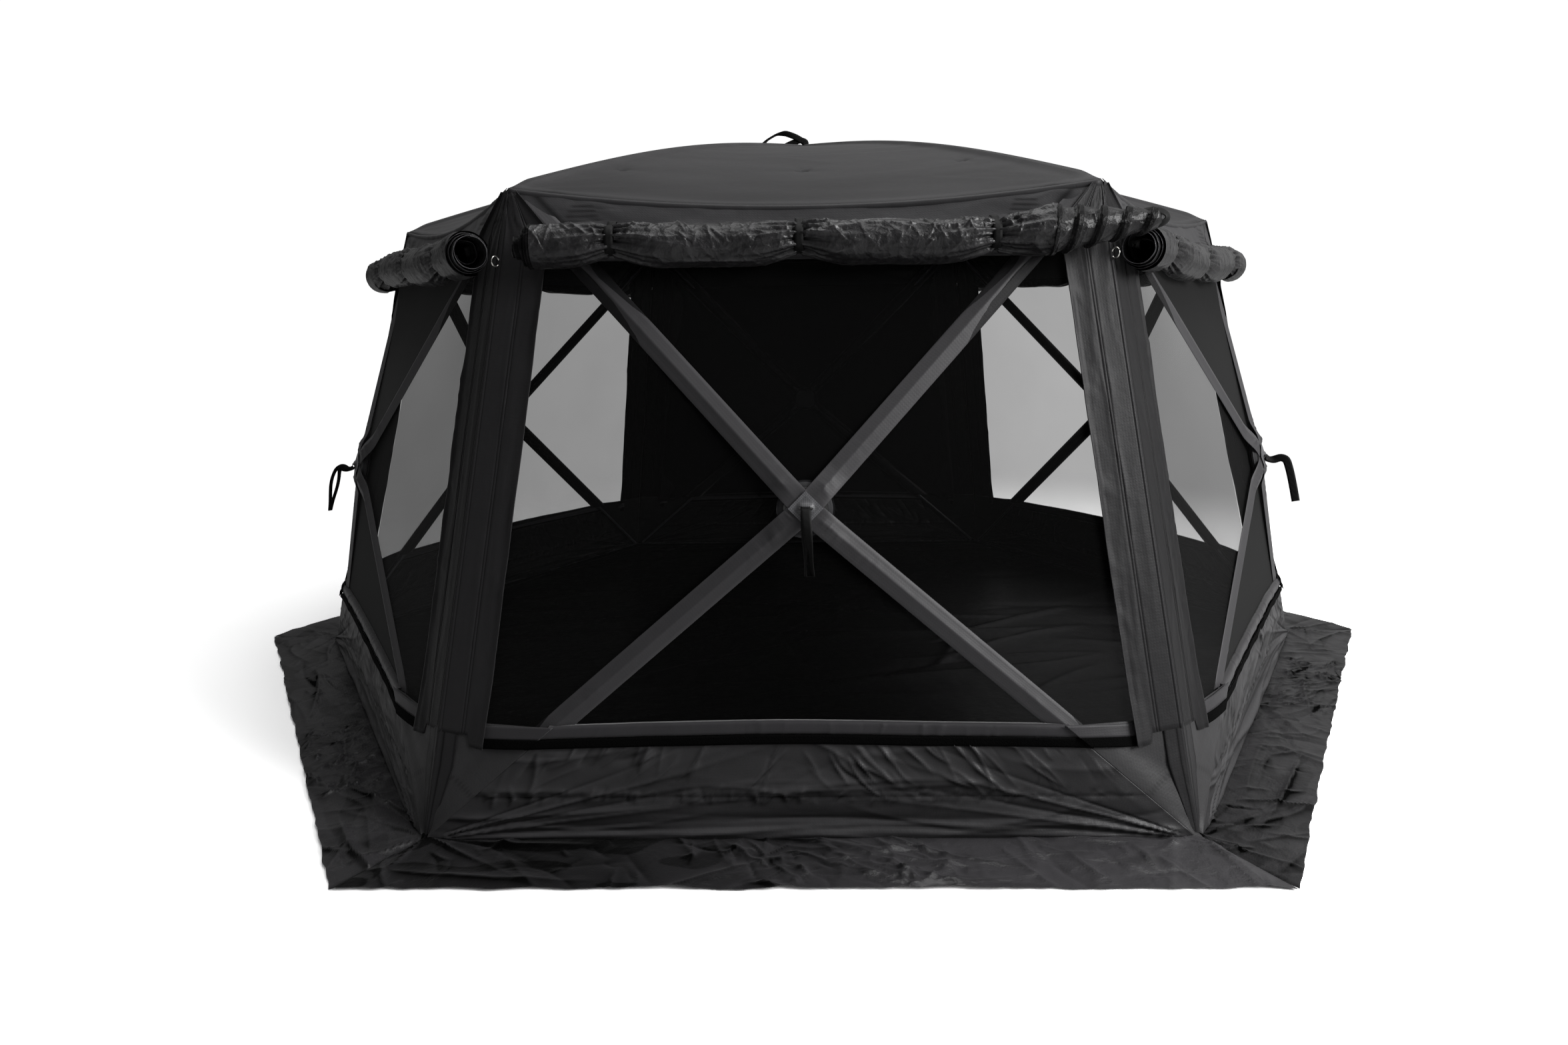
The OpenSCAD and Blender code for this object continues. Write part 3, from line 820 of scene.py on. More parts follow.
def build_band(w, n, mid, height):
    """Plain cloth under the roof edge, pleated at its corners."""
    v = np.linspace(0, (BAND_W + 0.01) / height, 56)
    pts = top_rows(w, v, 220)
    s = np.linspace(0, 1, 220)[None, :]
    vv = np.broadcast_to((v / v[-1])[:, None], pts.shape[:2])
    pts = pts - UP * (edge_sag(s) * (1 - smooth(vv)))[..., None]
    corner = np.exp(-(s / 0.12)) + np.exp(-((1 - s) / 0.12))
    inside = np.sin(np.pi * np.clip(s * 3, 0, 0.5)) * np.sin(np.pi * np.clip((1 - s) * 3, 0, 0.5))
    pleat = 0.007 * corner * np.sin(vv * 14 + 3 * wobble(pts, 0.08, 71)) * inside
    soft = wobble(stretch(pts, mid, w.along, 0.3), 0.07, 81 + w.k) * 0.003
    u = (pts - mid) @ w.along
    depth = vv * BAND_W
    for sign, near in ((-1, (-0.60, -0.52)), (1, (0.52, 0.60))):
        seed = 700 + 10 * w.k + sign
        area = (near, (0.03, 0.10))
        soft = soft - creases(u, depth, 9, seed, area, 0.08 * sign, 0.06, 0.055, 0.004, 0.0050)
    pts = pts + n * (pleat + soft * np.sin(np.pi * s) + 0.003)[..., None]
    return sheet(f"top_band_{w.k}", pts, "band", band_tone(w, pts, u, depth), thick=CLOTH)


def band_tone(w, pts, u, depth):
    """Painted shade beside the pole sleeves, where they shade the band, and dark lines along the stitched
    pleats at the corners.
    """
    tone = np.zeros(u.shape)
    for letter in "ab":
        # painted shade beside each pole sleeve
        tone -= 0.65 * hump(from_pole(pts, f"upper_pole_{w.k}_{letter}"), 0.034, 0.007)
    for sign in (-1, 1):
        place = sign * (u - sign * 0.555)
        for i in range(PLEATS):
            line = depth - (0.028 + 0.015 * i) - 0.16 * place
            window = smooth((0.034 + 0.006 * i - np.abs(place)) / 0.012)
            tone -= 0.60 * hump(line, 0, 0.0036) * window
    return tone


def edge_sag(s):
    """How far a roof edge hangs down between its corners."""
    return 0.052 * 4 * s * (1 - s)


SLEEVE_PROFILE = np.array([
    (-0.50, 0.0000), (-0.485, 0.0012), (-0.36, 0.0030), (-0.22, 0.0056), (-0.09, 0.0085), (-0.045, 0.0095),
    (-0.01, 0.0097), (0.03, 0.0090), (0.18, 0.0062), (0.34, 0.0032), (0.485, 0.0010), (0.50, 0.0000),
    (0.30, -0.0028), (0.14, -0.0072), (0.00, -0.0086), (-0.14, -0.0072), (-0.30, -0.0028),
])
HUB_COVER = 0.0125


def sleeve_wrinkles(run, across, length, place, seed):
    """Crosswise puckers near the hub and at the bar tack half way along a sleeve."""
    near_hub = np.exp(-run / 0.09)
    tack = np.exp(-(((run - place * length) / 0.05) ** 2))
    lean = run + across * 0.5 * SLEEVE_W
    pucker = creases(
        lean, across * SLEEVE_W, 26, seed, ((0.0, 0.22), (-0.03, 0.03)), 1.3, 0.25, 0.024, 0.0035, 0.0035
    )
    pinch = creases(
        lean - place * length, across * SLEEVE_W, 8, seed + 1, ((-0.05, 0.05), (-0.02, 0.03)),
        1.0, 0.5, 0.020, 0.003, 0.0022,
    )
    return pucker * near_hub * 1.6 + pinch * tack


def build_sleeves(w):
    k = w.k
    for level in ("upper", "lower"):
        for side, letter in enumerate("ab"):
            pole = f"{level}_pole_{k}_{letter}"
            seed = 40 * k + 10 * side + (level == "upper")
            pts, tone = sleeve_points(w, pole, level == "upper", seed)
            obj = sheet(f"pole_sleeve_{level}_{k}_{letter}", pts, "sleeve", tone, closed=True)
            ride(obj, "pole_sleeves", pole)


def sleeve_points(w, pole, upper, seed):
    """Flat tunnel along a pole: starts over the hub, ends at the band or square with the sill."""
    p, g = pole_ray(pole)
    out = unit(w.out - (w.out @ g) * g)
    across = np.cross(g, out)
    length = np.linalg.norm(TIPS[pole] - p)
    place, rise = SLEEVE_PROFILE.T
    if upper:
        end = np.full(len(place), length - 0.02)
    else:
        end = (p[2] - (SILL_Z - 0.006) + across[2] * place * SLEEVE_W) / -g[2]
    share = np.linspace(0, 1, 150) ** 1.35
    run = -0.013 + share[:, None] * (end[None, :] + 0.013)
    cc = np.broadcast_to(place[None, :], run.shape)
    over_hub = HUB_COVER * (1 - smooth((run - 0.004) / 0.085))
    over_band = (0.013 if upper else 0.0) * smooth((run / length - 0.70) / 0.2)
    height = rise[None, :] * smooth((run + 0.03) / 0.08) + over_hub + over_band
    front = np.clip(rise[None, :] / 0.004, 0, 1)
    wrinkle = sleeve_wrinkles(run, cc, length, 0.56, seed)
    height = height + wrinkle * front * (1 - np.abs(cc) * 1.5)
    pts = p + g * run[..., None] + across * (cc * SLEEVE_W)[..., None] + out * height[..., None]
    # tone: lighter along both edges, and painted shade on the back half, which faces into the shelter
    return pts, 0.20 * smooth((np.abs(cc) - 0.44) / 0.04) - 0.8 * (rise[None, :] < -0.001)


POCKET_R = 0.069


def build_hub_pocket(w):
    """Round cloth that wraps the hub, in front and behind."""
    ang = np.linspace(0, 2 * np.pi, 73)
    rings = np.concatenate([np.linspace(0.0, 0.75, 7), np.linspace(0.78, 1.0, 8)])
    for face in (1, -1):
        yy = rings[:, None] * np.cos(ang)[None, :] * POCKET_R
        zz = rings[:, None] * np.sin(ang)[None, :] * POCKET_R
        high = 0.0125 * (1 - smooth((rings - 0.76) / 0.24)) - 0.004
        height = np.broadcast_to((face * high - (0 if face > 0 else 0.004))[:, None], yy.shape)
        pts = w.hub + w.along * yy[..., None] + w.up * zz[..., None] + w.out * height[..., None]
        tone = np.broadcast_to((1.2 * hump(rings, 0.93, 0.02))[:, None], yy.shape)
        pocket = sheet(f"hub_pocket_{w.k}_{'front' if face > 0 else 'back'}", pts, "lining", tone)
        ride(pocket, "hub_pockets", f"wall_hub_{w.k}")


def build_hub_patch(w):
    """Square reflective patch, corner up, over the crossing sleeves, with a lip over the strap's bar."""
    t = np.linspace(-1, 1, 81)
    yy, zz = np.meshgrid(t, t, indexing="xy")
    d = np.maximum(np.abs(yy), np.abs(zz))
    half = 0.0300
    a, b = unit(w.along + w.up), unit(w.up - w.along)
    pts = w.hub + a * (yy * half)[..., None] + b * (zz * half)[..., None]
    across = (pts - w.hub) @ w.along
    above = (pts - w.hub) @ w.up
    lip = 0.0075 * np.exp(-((across / 0.017) ** 4) - ((above - 0.003) / 0.010) ** 2)
    pts = pts + w.out * (HUB_COVER + 0.0062 + 0.001 * (1 - d) + lip)[..., None]
    stitch = hump(d, 0.80, 0.025) + hump(d, 0.93, 0.025)
    run = np.minimum(np.abs(yy), np.abs(zz)) * np.sign(yy * zz)
    dashes = 0.5 + 0.5 * np.sign(np.sin(run * 40))
    dots = np.cos(yy * 30) * np.cos(zz * 30)
    tone = 0.9 * stitch * dashes - 0.45 * smooth(dots / 0.5) * (d < 0.72) - 0.3 * (d > 0.965)
    patch = sheet(f"hub_patch_{w.k}", pts, "patch", tone, thick=0.001)
    ride(patch, "hub_patches", f"wall_hub_{w.k}")


# ---- pull straps ----
STRAP_WIDTH = 0.023
STRAP_LENGTH = 0.158
BAR_WRAP = 0.0048
# a strap flung outwards: distance out from the bar and height over it
FLUNG = (
    (0.0, 0.0), (0.004, -0.013), (0.018, -0.017), (0.034, -0.013),
    (0.046, -0.022), (0.049, -0.060), (0.050, -0.105), (0.050, -0.150),
)
HANGING_WALLS = (BACK_WALL, FRONT_WALL)


def hanging_strap(w, bar):
    """Path and width direction of a hanging loop: two strands that twist apart and meet in a fold."""
    t = np.linspace(0, 1, 40)
    sway = 1 if w.k % 2 == 0 else -1

    def strand(out, drift, turn):
        place = bar - np.outer(STRAP_LENGTH * t, w.up) + np.outer(out, w.out)
        place = place + np.outer(drift * t**1.2, w.along * sway)
        angle = turn * smooth(t * 1.15)
        return place, np.outer(np.cos(angle), w.along) + np.outer(np.sin(angle), w.out * sway)

    front, side_front = strand(0.0046 + 0.016 * np.sin(np.pi * t**0.8), 0.014, 1.05)
    back, side_back = strand(-0.0030 + 0.010 * np.sin(np.pi * t) ** 2, -0.002, 1.35)
    a = np.linspace(0, math.pi, 9)[1:-1]
    over = bar + BAR_WRAP * (np.outer(np.sin(a), w.up) - np.outer(np.cos(a), w.out))
    path = np.vstack([front, back[::-1], over, front[:1]])
    return path, np.vstack([side_front, side_back[::-1], np.tile(w.along, (len(a) + 1, 1))])


def flung_strap(w, bar):
    """Path and width direction of a loop that sticks out from the hub, twisted, before it drops."""
    open_loop = w.k in (0, 3)
    plane = strand_path(FLUNG, 44) * (1.0 if open_loop else 1.25, 1.05)
    t = np.linspace(0, 1, len(plane))
    step = np.gradient(plane, axis=0)
    step = step / np.linalg.norm(step, axis=1, keepdims=True)
    heading = np.outer(step[:, 0], w.out) + np.outer(step[:, 1], w.up)
    normal = np.outer(-step[:, 1], w.out) + np.outer(step[:, 0], w.up)
    if open_loop:
        angle = 0.50 * smooth(t / 0.14) + 0.75 * hump(t, 0.40, 0.12)
    else:
        angle = 0.50 * smooth(t / 0.14) + 0.95 * smooth((t - 0.14) / 0.25)
    side = np.cos(angle)[:, None] * w.along + np.sin(angle)[:, None] * normal
    apart = np.cross(side, heading)
    bulge = (0.009 if open_loop else 0.002) * np.sin(np.pi * smooth((t - 0.42) / 0.58))
    gap = 0.0040 - 0.0025 * smooth(t / 0.2) + bulge
    centre = bar + np.outer(plane[:, 0], w.out) + np.outer(plane[:, 1], w.up)
    first = centre + apart * gap[:, None]
    second = centre - apart * gap[:, None]
    start = (first[0] - bar) / np.linalg.norm(first[0] - bar)
    a = np.linspace(0, math.pi, 9)[1:-1]
    over = bar + BAR_WRAP * (-np.outer(np.cos(a), start) - np.outer(np.sin(a), w.out))
    path = np.vstack([first, second[::-1], over, first[:1]])
    return path, np.vstack([side, side[::-1], np.tile(w.along, (len(a) + 1, 1))])


def build_strap(w):
    node_name = f"pull_strap_{w.k}"
    bar = np.array(JOINT[node_name + "_swing"]["pos_m"])
    path, side = (hanging_strap if w.k in HANGING_WALLS else flung_strap)(w, bar)
    obj = sheet(f"strap_webbing_{w.k}", ribbon(path, side, STRAP_WIDTH, 5), "webbing", thick=0.0014)
    ride(obj, node_name, node_name)


def strand_path(points, count):
    """A smooth curve through the given points, evenly stepped."""
    points = np.asarray(points, float)
    knots = np.linspace(0, 1, len(points))
    fine = np.linspace(0, 1, count)
    path = np.stack([np.interp(fine, knots, points[:, i]) for i in range(points.shape[1])], axis=1)
    kernel = np.hanning(9)[1:-1]
    kernel = kernel / kernel.sum()
    half = len(kernel) // 2
    padded = np.vstack([np.tile(path[:1], (half, 1)), path, np.tile(path[-1:], (half, 1))])
    return np.stack([np.convolve(padded[:, i], kernel, "valid") for i in range(path.shape[1])], axis=1)


# crown loop: x, y, height above the crown and twist (0 edge on from the front, 1 flat to it)
CROWN_STRAND = (
    (0.004, 0.000, 0.000, 1.0), (0.010, 0.000, 0.014, 1.0), (0.004, 0.000, 0.027, 1.0),
    (-0.024, 0.000, 0.044, 0.95), (-0.062, 0.000, 0.058, 0.6), (-0.096, 0.004, 0.055, 0.12),
    (-0.132, 0.008, 0.036, 0.12), (-0.150, 0.014, 0.016, 0.5), (-0.152, 0.022, -0.004, 0.6),
    (-0.132, 0.030, -0.010, 0.6), (-0.100, 0.020, -0.004, 0.9), (-0.050, 0.008, 0.020, 1.0),
    (-0.008, 0.000, 0.034, 1.0), (0.012, -0.002, 0.026, 1.0), (0.012, -0.004, 0.004, 1.0),
)


def build_roof_loop():
    """A loop of webbing sewn at the crown that flops over to one side."""
    path = strand_path(CROWN_STRAND, 110)
    place, twist = path[:, :3] + np.array([0.0, 0.0, CROWN_Z - 0.001]), path[:, 3:]
    along = np.gradient(place, axis=0)
    flat = np.stack([-along[:, 2], np.zeros(len(along)), along[:, 0]], axis=1)
    flat = flat / np.maximum(np.linalg.norm(flat, axis=1, keepdims=True), 1e-9)
    side = flat * twist + np.array([0.0, 1.0, 0.0]) * (1 - twist)
    side = side / np.linalg.norm(side, axis=1, keepdims=True)
    obj = sheet("crown_loop", ribbon(place, side, 0.021, 5), "webbing", thick=0.0022)
    ride(obj, "roof_pull_loop", "roof_hub")


# ---- roof ----
DOME = 0.042
DIMPLES = ((0.0, 0.94), (-0.50, 1.00), (0.45, 0.93))


def roof_dimples(u, r, k):
    """Small puckered dents where ties are sewn under the canopy."""
    total = np.zeros_like(u)
    for i, (du, dr) in enumerate(DIMPLES):
        reach = np.hypot(u - du, r - dr)
        angle = np.arctan2(r - dr, u - du)
        star = 0.5 + 0.5 * np.cos(angle * 5 + 1.7 * i + k)
        slit = np.exp(-(((u - du) / 0.014) ** 2) - ((r - dr) / 0.005) ** 2)
        rays = 0.0025 * star * np.exp(-reach / 0.060) * smooth(reach / 0.02)
        total -= 0.006 * np.exp(-reach / 0.018) + rays
        total -= 0.020 * slit
    return total


CORNER_PULLS = (0.10, 0.22, 0.36, 0.52, 0.70)  # headings of the tension folds below each roof edge


def gore_relief(u, r, k):
    """Folds of one roof gore and the dents of its sewn ties."""
    folds = creases(u, r, 16, 800 + 10 * k, ((-0.5, 0.5), (0.3, 1.25)), 0.0, 0.5, 0.25, 0.014, 0.0030)
    pulls = [np.pi + p for p in CORNER_PULLS]
    right = fan(u, r, ROOF_R / 2, ROOF_A, pulls, 0.020, 0.0050, 0.22)
    left = fan(u, r, -ROOF_R / 2, ROOF_A, [np.pi - h for h in pulls], 0.020, 0.0050, 0.22)
    dimples = roof_dimples(u, r, k)
    return folds + right + left + dimples, dimples


def gore_tone(u, r, k, vv, ss, dimples):
    """Light seams and hem line, painted shade in the dents and over the lower middle, and long streaks along
    the edge.
    """
    near, far = ss * (1 - vv), (1 - ss) * (1 - vv)
    tone = 0.18 * (hump(near, 0, 0.006) + hump(far, 0, 0.006))
    # painted shade over the lower middle between the poles
    shade = 0.26 * smooth((0.30 - vv) / 0.26) * smooth(4 * ss * (1 - ss) / 0.3)
    # painted shade in the dents, and the lighter hem line
    tone = tone + 25.0 * np.minimum(dimples, 0) - shade + 0.30 * hump(vv, 0.018, 0.006)
    return tone + 0.16 * wobble(np.stack([u * 0.2, r, 0 * u + k], axis=-1), 0.055, 77)


def build_gore(w, edge):
    """One cloth panel of the canopy between two bowed poles."""
    top = np.array([0.0, 0.0, CROWN_Z + 0.002])
    v = np.linspace(0, 0.985, 110)
    s = np.linspace(0, 1, edge.shape[0])
    flat = edge[None, :, :] * (1 - v)[:, None, None] + top * v[:, None, None]
    vv, ss = np.meshgrid(v, s, indexing="ij")
    between_poles = 4 * ss * (1 - ss)
    cushion = DOME * np.sin(np.pi * vv) + 0.012 * between_poles * np.sin(np.pi * vv)
    u = (flat - top) @ w.along
    r = (flat - top) @ w.radial
    relief, dimples = gore_relief(u, r, w.k)
    ridge = 0.010 * hump(np.minimum(ss, 1 - ss) * (1 - vv), 0, 0.012)
    lift = cushion + relief * smooth(between_poles / 0.12) + 0.004
    pts = flat + UP * lift[..., None] + UP * (ridge * smooth(vv / 0.05))[..., None]
    tone = gore_tone(u, r, w.k, vv, ss, dimples)
    gore = sheet(f"roof_gore_{w.k}", pts, "roof", tone, thick=CLOTH)
    fold_onto(gore, "roof_canopy", f"roof_pole_{w.k}", w.roof[1])


def build_roof_hem(w, edge):
    drop = np.linspace(0.004, -0.014, 5)
    curl = np.array([-0.002, 0.002, 0.003, 0.002, 0.0])
    start = edge + w.radial * 0.006
    hem = start[None, :, :] + UP * drop[:, None, None] + w.radial * curl[:, None, None]
    hem = hem + w.radial * (wobble(hem, 0.05, 99 + w.k) * 0.0015)[..., None]
    hem = sheet(f"roof_hem_{w.k}", hem, "roof", thick=0.0016)
    fold_onto(hem, "roof_canopy", f"roof_pole_{w.k}", w.roof[1])


def build_roof_sleeve(pole, name):
    """Sleeve round a roof pole, hung from the canopy by a fin."""
    p, g = pole_ray(pole)
    length = np.linalg.norm(TIPS[pole] - p)
    out = unit(UP - (UP @ g) * g)
    across = np.cross(g, out)
    run = np.linspace(0.03, length - 0.03, 60)
    a = np.linspace(0.25, 2 * math.pi - 0.25, 12)
    ring = 0.010 * np.stack([np.sin(a), np.cos(a)], axis=-1)
    fin = 0.012 + (DOME + 0.006) * np.sin(np.pi * run / (run[-1] + 0.06))
    pts = p + g * run[:, None, None] + across * ring[None, :, 0:1] + out * ring[None, :, 1:2]
    first = pts[:, :1] + out * fin[:, None, None] - across * 0.002
    last = pts[:, -1:] + out * fin[:, None, None] + across * 0.002
    ride(sheet(name, np.concatenate([first, pts, last], axis=1), "lining"), "pole_sleeves", pole)


def build_roof():
    for w in WALLS:
        edge = between(w.roof[0][None, :], w.roof[1][None, :], 110)[0]
        edge = edge - UP * edge_sag(np.linspace(0, 1, 110))[:, None]
        build_gore(w, edge)
        build_roof_hem(w, edge)
        build_roof_sleeve(f"roof_pole_{w.k}", f"roof_pole_sleeve_{w.k}")


# ---- skirt and floor ----
def skirt_relief(u, r, k):
    """Height of the skirt's folds; u runs along the wall from its middle, r outwards from it."""
    seed = 900 + 20 * k
    wide = (SKIRT_R - BASE_R) * COS30
    half = SKIRT_R / 2
    long_folds = creases(u, r, 22, seed, ((-half, half), (0.02, wide)), 0.0, 0.35, 0.22, 0.014, 0.0090)
    crossing = creases(u, r, 46, seed + 1, ((-half, half), (0.0, wide)), 1.3, 0.45, 0.085, 0.009, 0.0080)
    bunch_at = 0.10 if k == FRONT_WALL else 0.35
    bunched = creases(
        u, r, 90, seed + 2, ((bunch_at - 0.28, bunch_at + 0.24), (0.05, wide)), 0.9, 0.8, 0.040, 0.005, 0.0080
    )
    small = creases(u, r, 60, seed + 3, ((-half, half), (0.0, wide)), 0.6, 1.2, 0.035, 0.005, 0.0040)
    base_half = BASE_R / 2
    pulls = (0.35, 0.62, 0.85, 1.10, 1.35)
    left = fan(u, r, -base_half, 0.0, [np.pi - p for p in pulls] + [0.25, 0.6], 0.05, 0.012, 0.16)
    right = fan(u, r, base_half, 0.0, list(pulls) + [np.pi - 0.25, np.pi - 0.6], 0.05, 0.012, 0.16)
    swell = 0.006 * (wobble(np.stack([u, r, 0 * u + k], axis=-1), 0.20, 121) + 0.8)
    return long_folds + crossing + bunched + small + left + right + swell


def skirt_patches_and_painted_light(u, r, k):
    """Dark patches on the glossy cloth, painted shade along the foot of the wall, and on the front skirt a
    change from painted shade at the left to painted light at the right.
    """
    spots = wobble(np.stack([u * 0.7, r * 1.6, 0 * u + 2.0 * k], axis=-1), 0.09, 141)
    depth = 0.50 if k == FRONT_WALL else 0.30
    # dark patches at random, and painted shade along the foot of the wall
    tone = -depth * smooth((spots - 0.12) / 0.06) - 0.30 * (1 - smooth(r / 0.05))
    if k == FRONT_WALL:
        # painted light: the front skirt darker at its left and lighter at its right
        tone = tone - 0.50 + 2.00 * smooth((u + 0.60) / 1.2)
    return tone


def build_skirt(w, side, letter):
    """Half of the skirt along one wall, from the wall's foot to its mitred outer edge."""
    v = np.linspace(0, 1, 56)
    s = np.linspace(0, 0.5, 170) + 0.5 * side
    scale = SKIRT_R / BASE_R
    along_base = (w.base[1] - w.base[0]) * s[:, None]
    inner = w.base[0] + along_base - w.radial * 0.01
    outer = w.base[0] * scale + along_base * scale
    pts = inner[None] * (1 - v)[:, None, None] + outer[None] * v[:, None, None]
    mid = (w.base[0] + w.base[1]) / 2
    u = (pts - mid) @ w.along
    r = (pts - mid) @ w.radial
    vv = np.broadcast_to(v[:, None], u.shape)
    mitre_fade = smooth(np.minimum(s, 1 - s)[None, :] / 0.006)
    lift = skirt_relief(u, r, w.k) * smooth(vv / 0.05) * (0.15 + 0.85 * mitre_fade)
    lift = np.maximum(0.0025 + lift + 0.010 * (1 - smooth(vv / 0.10)), 0.002)
    ripple = (0.006 * wobble(pts, 0.11, 131) + 0.004 * wobble(pts, 0.04, 132)) * vv**3
    pts = pts + UP * lift[..., None] + w.radial * ripple[..., None]
    mitre = s[None, :] if side == 0 else 1 - s[None, :]
    tone = 0.35 * smooth((vv - 0.985) / 0.015) - 0.5 * hump(mitre, 0, 0.004)
    # painted light and shade on the folds, plus the skirt's patches and painted light
    tone = tone + fold_shade(lift, u, -r, 2.4) + skirt_patches_and_painted_light(u, r, w.k)
    skirt = sheet(f"ground_skirt_{w.k}_{letter}", pts, "skirt", tone)
    ride(skirt, "ground_skirt", f"lower_pole_{w.k}_{letter}")
    gather(skirt, w.along * -side_sign(side), w.base[side])


def build_floor_sheet():
    """Six-sided sheet on the ground, with painted light, as if falling through the mesh, growing towards its
    right and front, and painted highlights on the fold sides that face there.
    """
    rad = np.linspace(0.001, 1, 150)
    ang = np.linspace(0, 2 * np.pi, 361)
    hexa = COS30 / np.cos((ang % (np.pi / 3)) - np.pi / 6)
    limit = BASE_R - 0.004
    x = rad[:, None] * (hexa * np.cos(ang))[None, :] * limit
    y = rad[:, None] * (hexa * np.sin(ang))[None, :] * limit
    flat = np.stack([x, y, np.zeros_like(x)], axis=-1)
    area = ((-1.7, 1.7), (-1.5, 1.5))
    folds = creases(x, y, 60, 1400, area, 0.15, 0.35, 0.45, 0.020, 0.016)
    folds = folds + creases(x, y, 50, 1401, area, 1.2, 0.5, 0.22, 0.015, 0.012)
    z = np.maximum(0.006 + folds + 0.006 * wobble(flat, 0.5, 161), 0.001)
    fade = smooth((1 - rad) / 0.03)[:, None]
    flat[..., 2] = z * fade + 0.002 + 0.012 * smooth((rad - 0.985) / 0.015)[:, None]
    # painted light: brighter towards the right and front; painted sheen: highlights on the fold sides facing
    # there
    lit = 0.12 + 5.0 * smooth((x + 0.1) / 1.3) * smooth((1.2 - y) / 1.4)
    sheen = 1 + 2.6 * np.clip(ridge_light(folds, x, y), -0.35, 1)
    ride(sheet("floor_cloth_sheet", flat, "floor", lit * sheen - 1), "floor_sheet", "base")


def build_ground():
    for w in WALLS:
        for side, letter in enumerate("ab"):
            build_skirt(w, side, letter)
    build_floor_sheet()


# ---- hung wind panel on the back wall ----
PANEL_HOLE = 0.052


def panel_drape(pts, w):
    """How far the hung panel stands out, lifted where it lies over the pole sleeves."""
    ridge = np.zeros(pts.shape[:-1])
    for name in ("upper", "lower"):
        for letter in "ab":
            ridge = np.maximum(ridge, hump(from_pole(pts, f"{name}_pole_{w.k}_{letter}"), 0, 0.036))
    return 0.013 + 0.016 * ridge + 0.004 * wobble(pts, 0.2, 171)


def panel_facet(w, outline, name, pole, towards):
    """One facet of the hung panel, from its outline in to the round opening at the hub."""
    outline = np.asarray(outline, float)
    steps = np.linalg.norm(np.diff(outline, axis=0), axis=1)
    reach = np.append(0.0, np.cumsum(steps))
    marks = np.union1d(np.linspace(0, reach[-1], 90), reach)
    outer = np.stack([np.interp(marks, reach, outline[:, i]) for i in range(3)], axis=1)
    inward = outer - w.hub
    inner = w.hub + inward / np.linalg.norm(inward, axis=1, keepdims=True) * PANEL_HOLE
    share = np.concatenate([np.linspace(0, 0.96, 44), [0.975, 0.99, 1.0]])
    pts = outer[None] * (1 - share)[:, None, None] + inner[None] * share[:, None, None]
    pts = pts + w.out * panel_drape(pts, w)[..., None]
    tone = np.broadcast_to((0.9 * smooth((share - 0.965) / 0.01))[:, None], pts.shape[:2])
    obj = sheet(f"hung_panel_{name}", pts, "hung", tone, thick=0.001)
    fold_onto(obj, "back_wind_panel", pole, towards)


def build_hung_panel():
    w = WALLS[BACK_WALL]
    k = w.k
    low = np.array([SILL_Z - 0.030])
    low_ends = [pole_line(w, side, low)[0] for side in (0, 1)]
    high_ends = [w.roof[side] + (w.hub - w.roof[side]) * 0.05 for side in (0, 1)]
    for side, letter in enumerate("ab"):
        inward = w.along * -side_sign(side)
        foot = corner_edge(w, side, low)[0] + inward * 0.10
        head = corner_edge(w, side, np.array([high_ends[side][2] - 0.10]))[0] + inward * 0.10
        outline = [low_ends[side], foot, head, high_ends[side]]
        panel_facet(w, outline, letter, f"upper_pole_{k}_{letter}", w.base[side])
    panel_facet(w, low_ends, "low", f"lower_pole_{k}_a", w.base[1])
    panel_facet(w, high_ends, "top", f"upper_pole_{k}_b", w.roof[0])


# ---- rolled wind panels ----
ROLL_R = 0.057
ROLL_HALF = 0.70
ROLL_SPAN = {3: (-0.70, 0.750), 4: (-0.678, 0.606), 5: (-0.735, 0.66)}
ROLL_SET = {4: (0.010, 0.004), 5: (0.025, 0.028)}  # how far in and down from the CAD axis
roll_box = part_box("rolled_wind_panels")
ROLL_Z = (roll_box[0].z + roll_box[1].z) / 2
ROLL_A = -roll_box[0].y - ROLL_R
TIES = (-0.487, 0.0, 0.487)
FRONT_TIES = (-0.467, -0.010, 0.463)
CUFF_INNER = 0.008
CUFF_BINDING = 0.022


def roll_span(k):
    return ROLL_SPAN.get(k, (-ROLL_HALF, ROLL_HALF))


def ties_of(k):
    return FRONT_TIES if k == FRONT_WALL else TIES


def tie_distance(x, k):
    return np.min([np.abs(x - t) for t in ties_of(k)], axis=0)


def roll_rise(x, k):
    """How far a roll's centre line hangs below or climbs above its axis."""
    climb = 0.022 * smooth((x - 0.463) / 0.14) if k == FRONT_WALL else 0.008 * np.sin(5 * x + k)
    return climb - 0.013 * smooth(tie_distance(x, k) / 0.13)


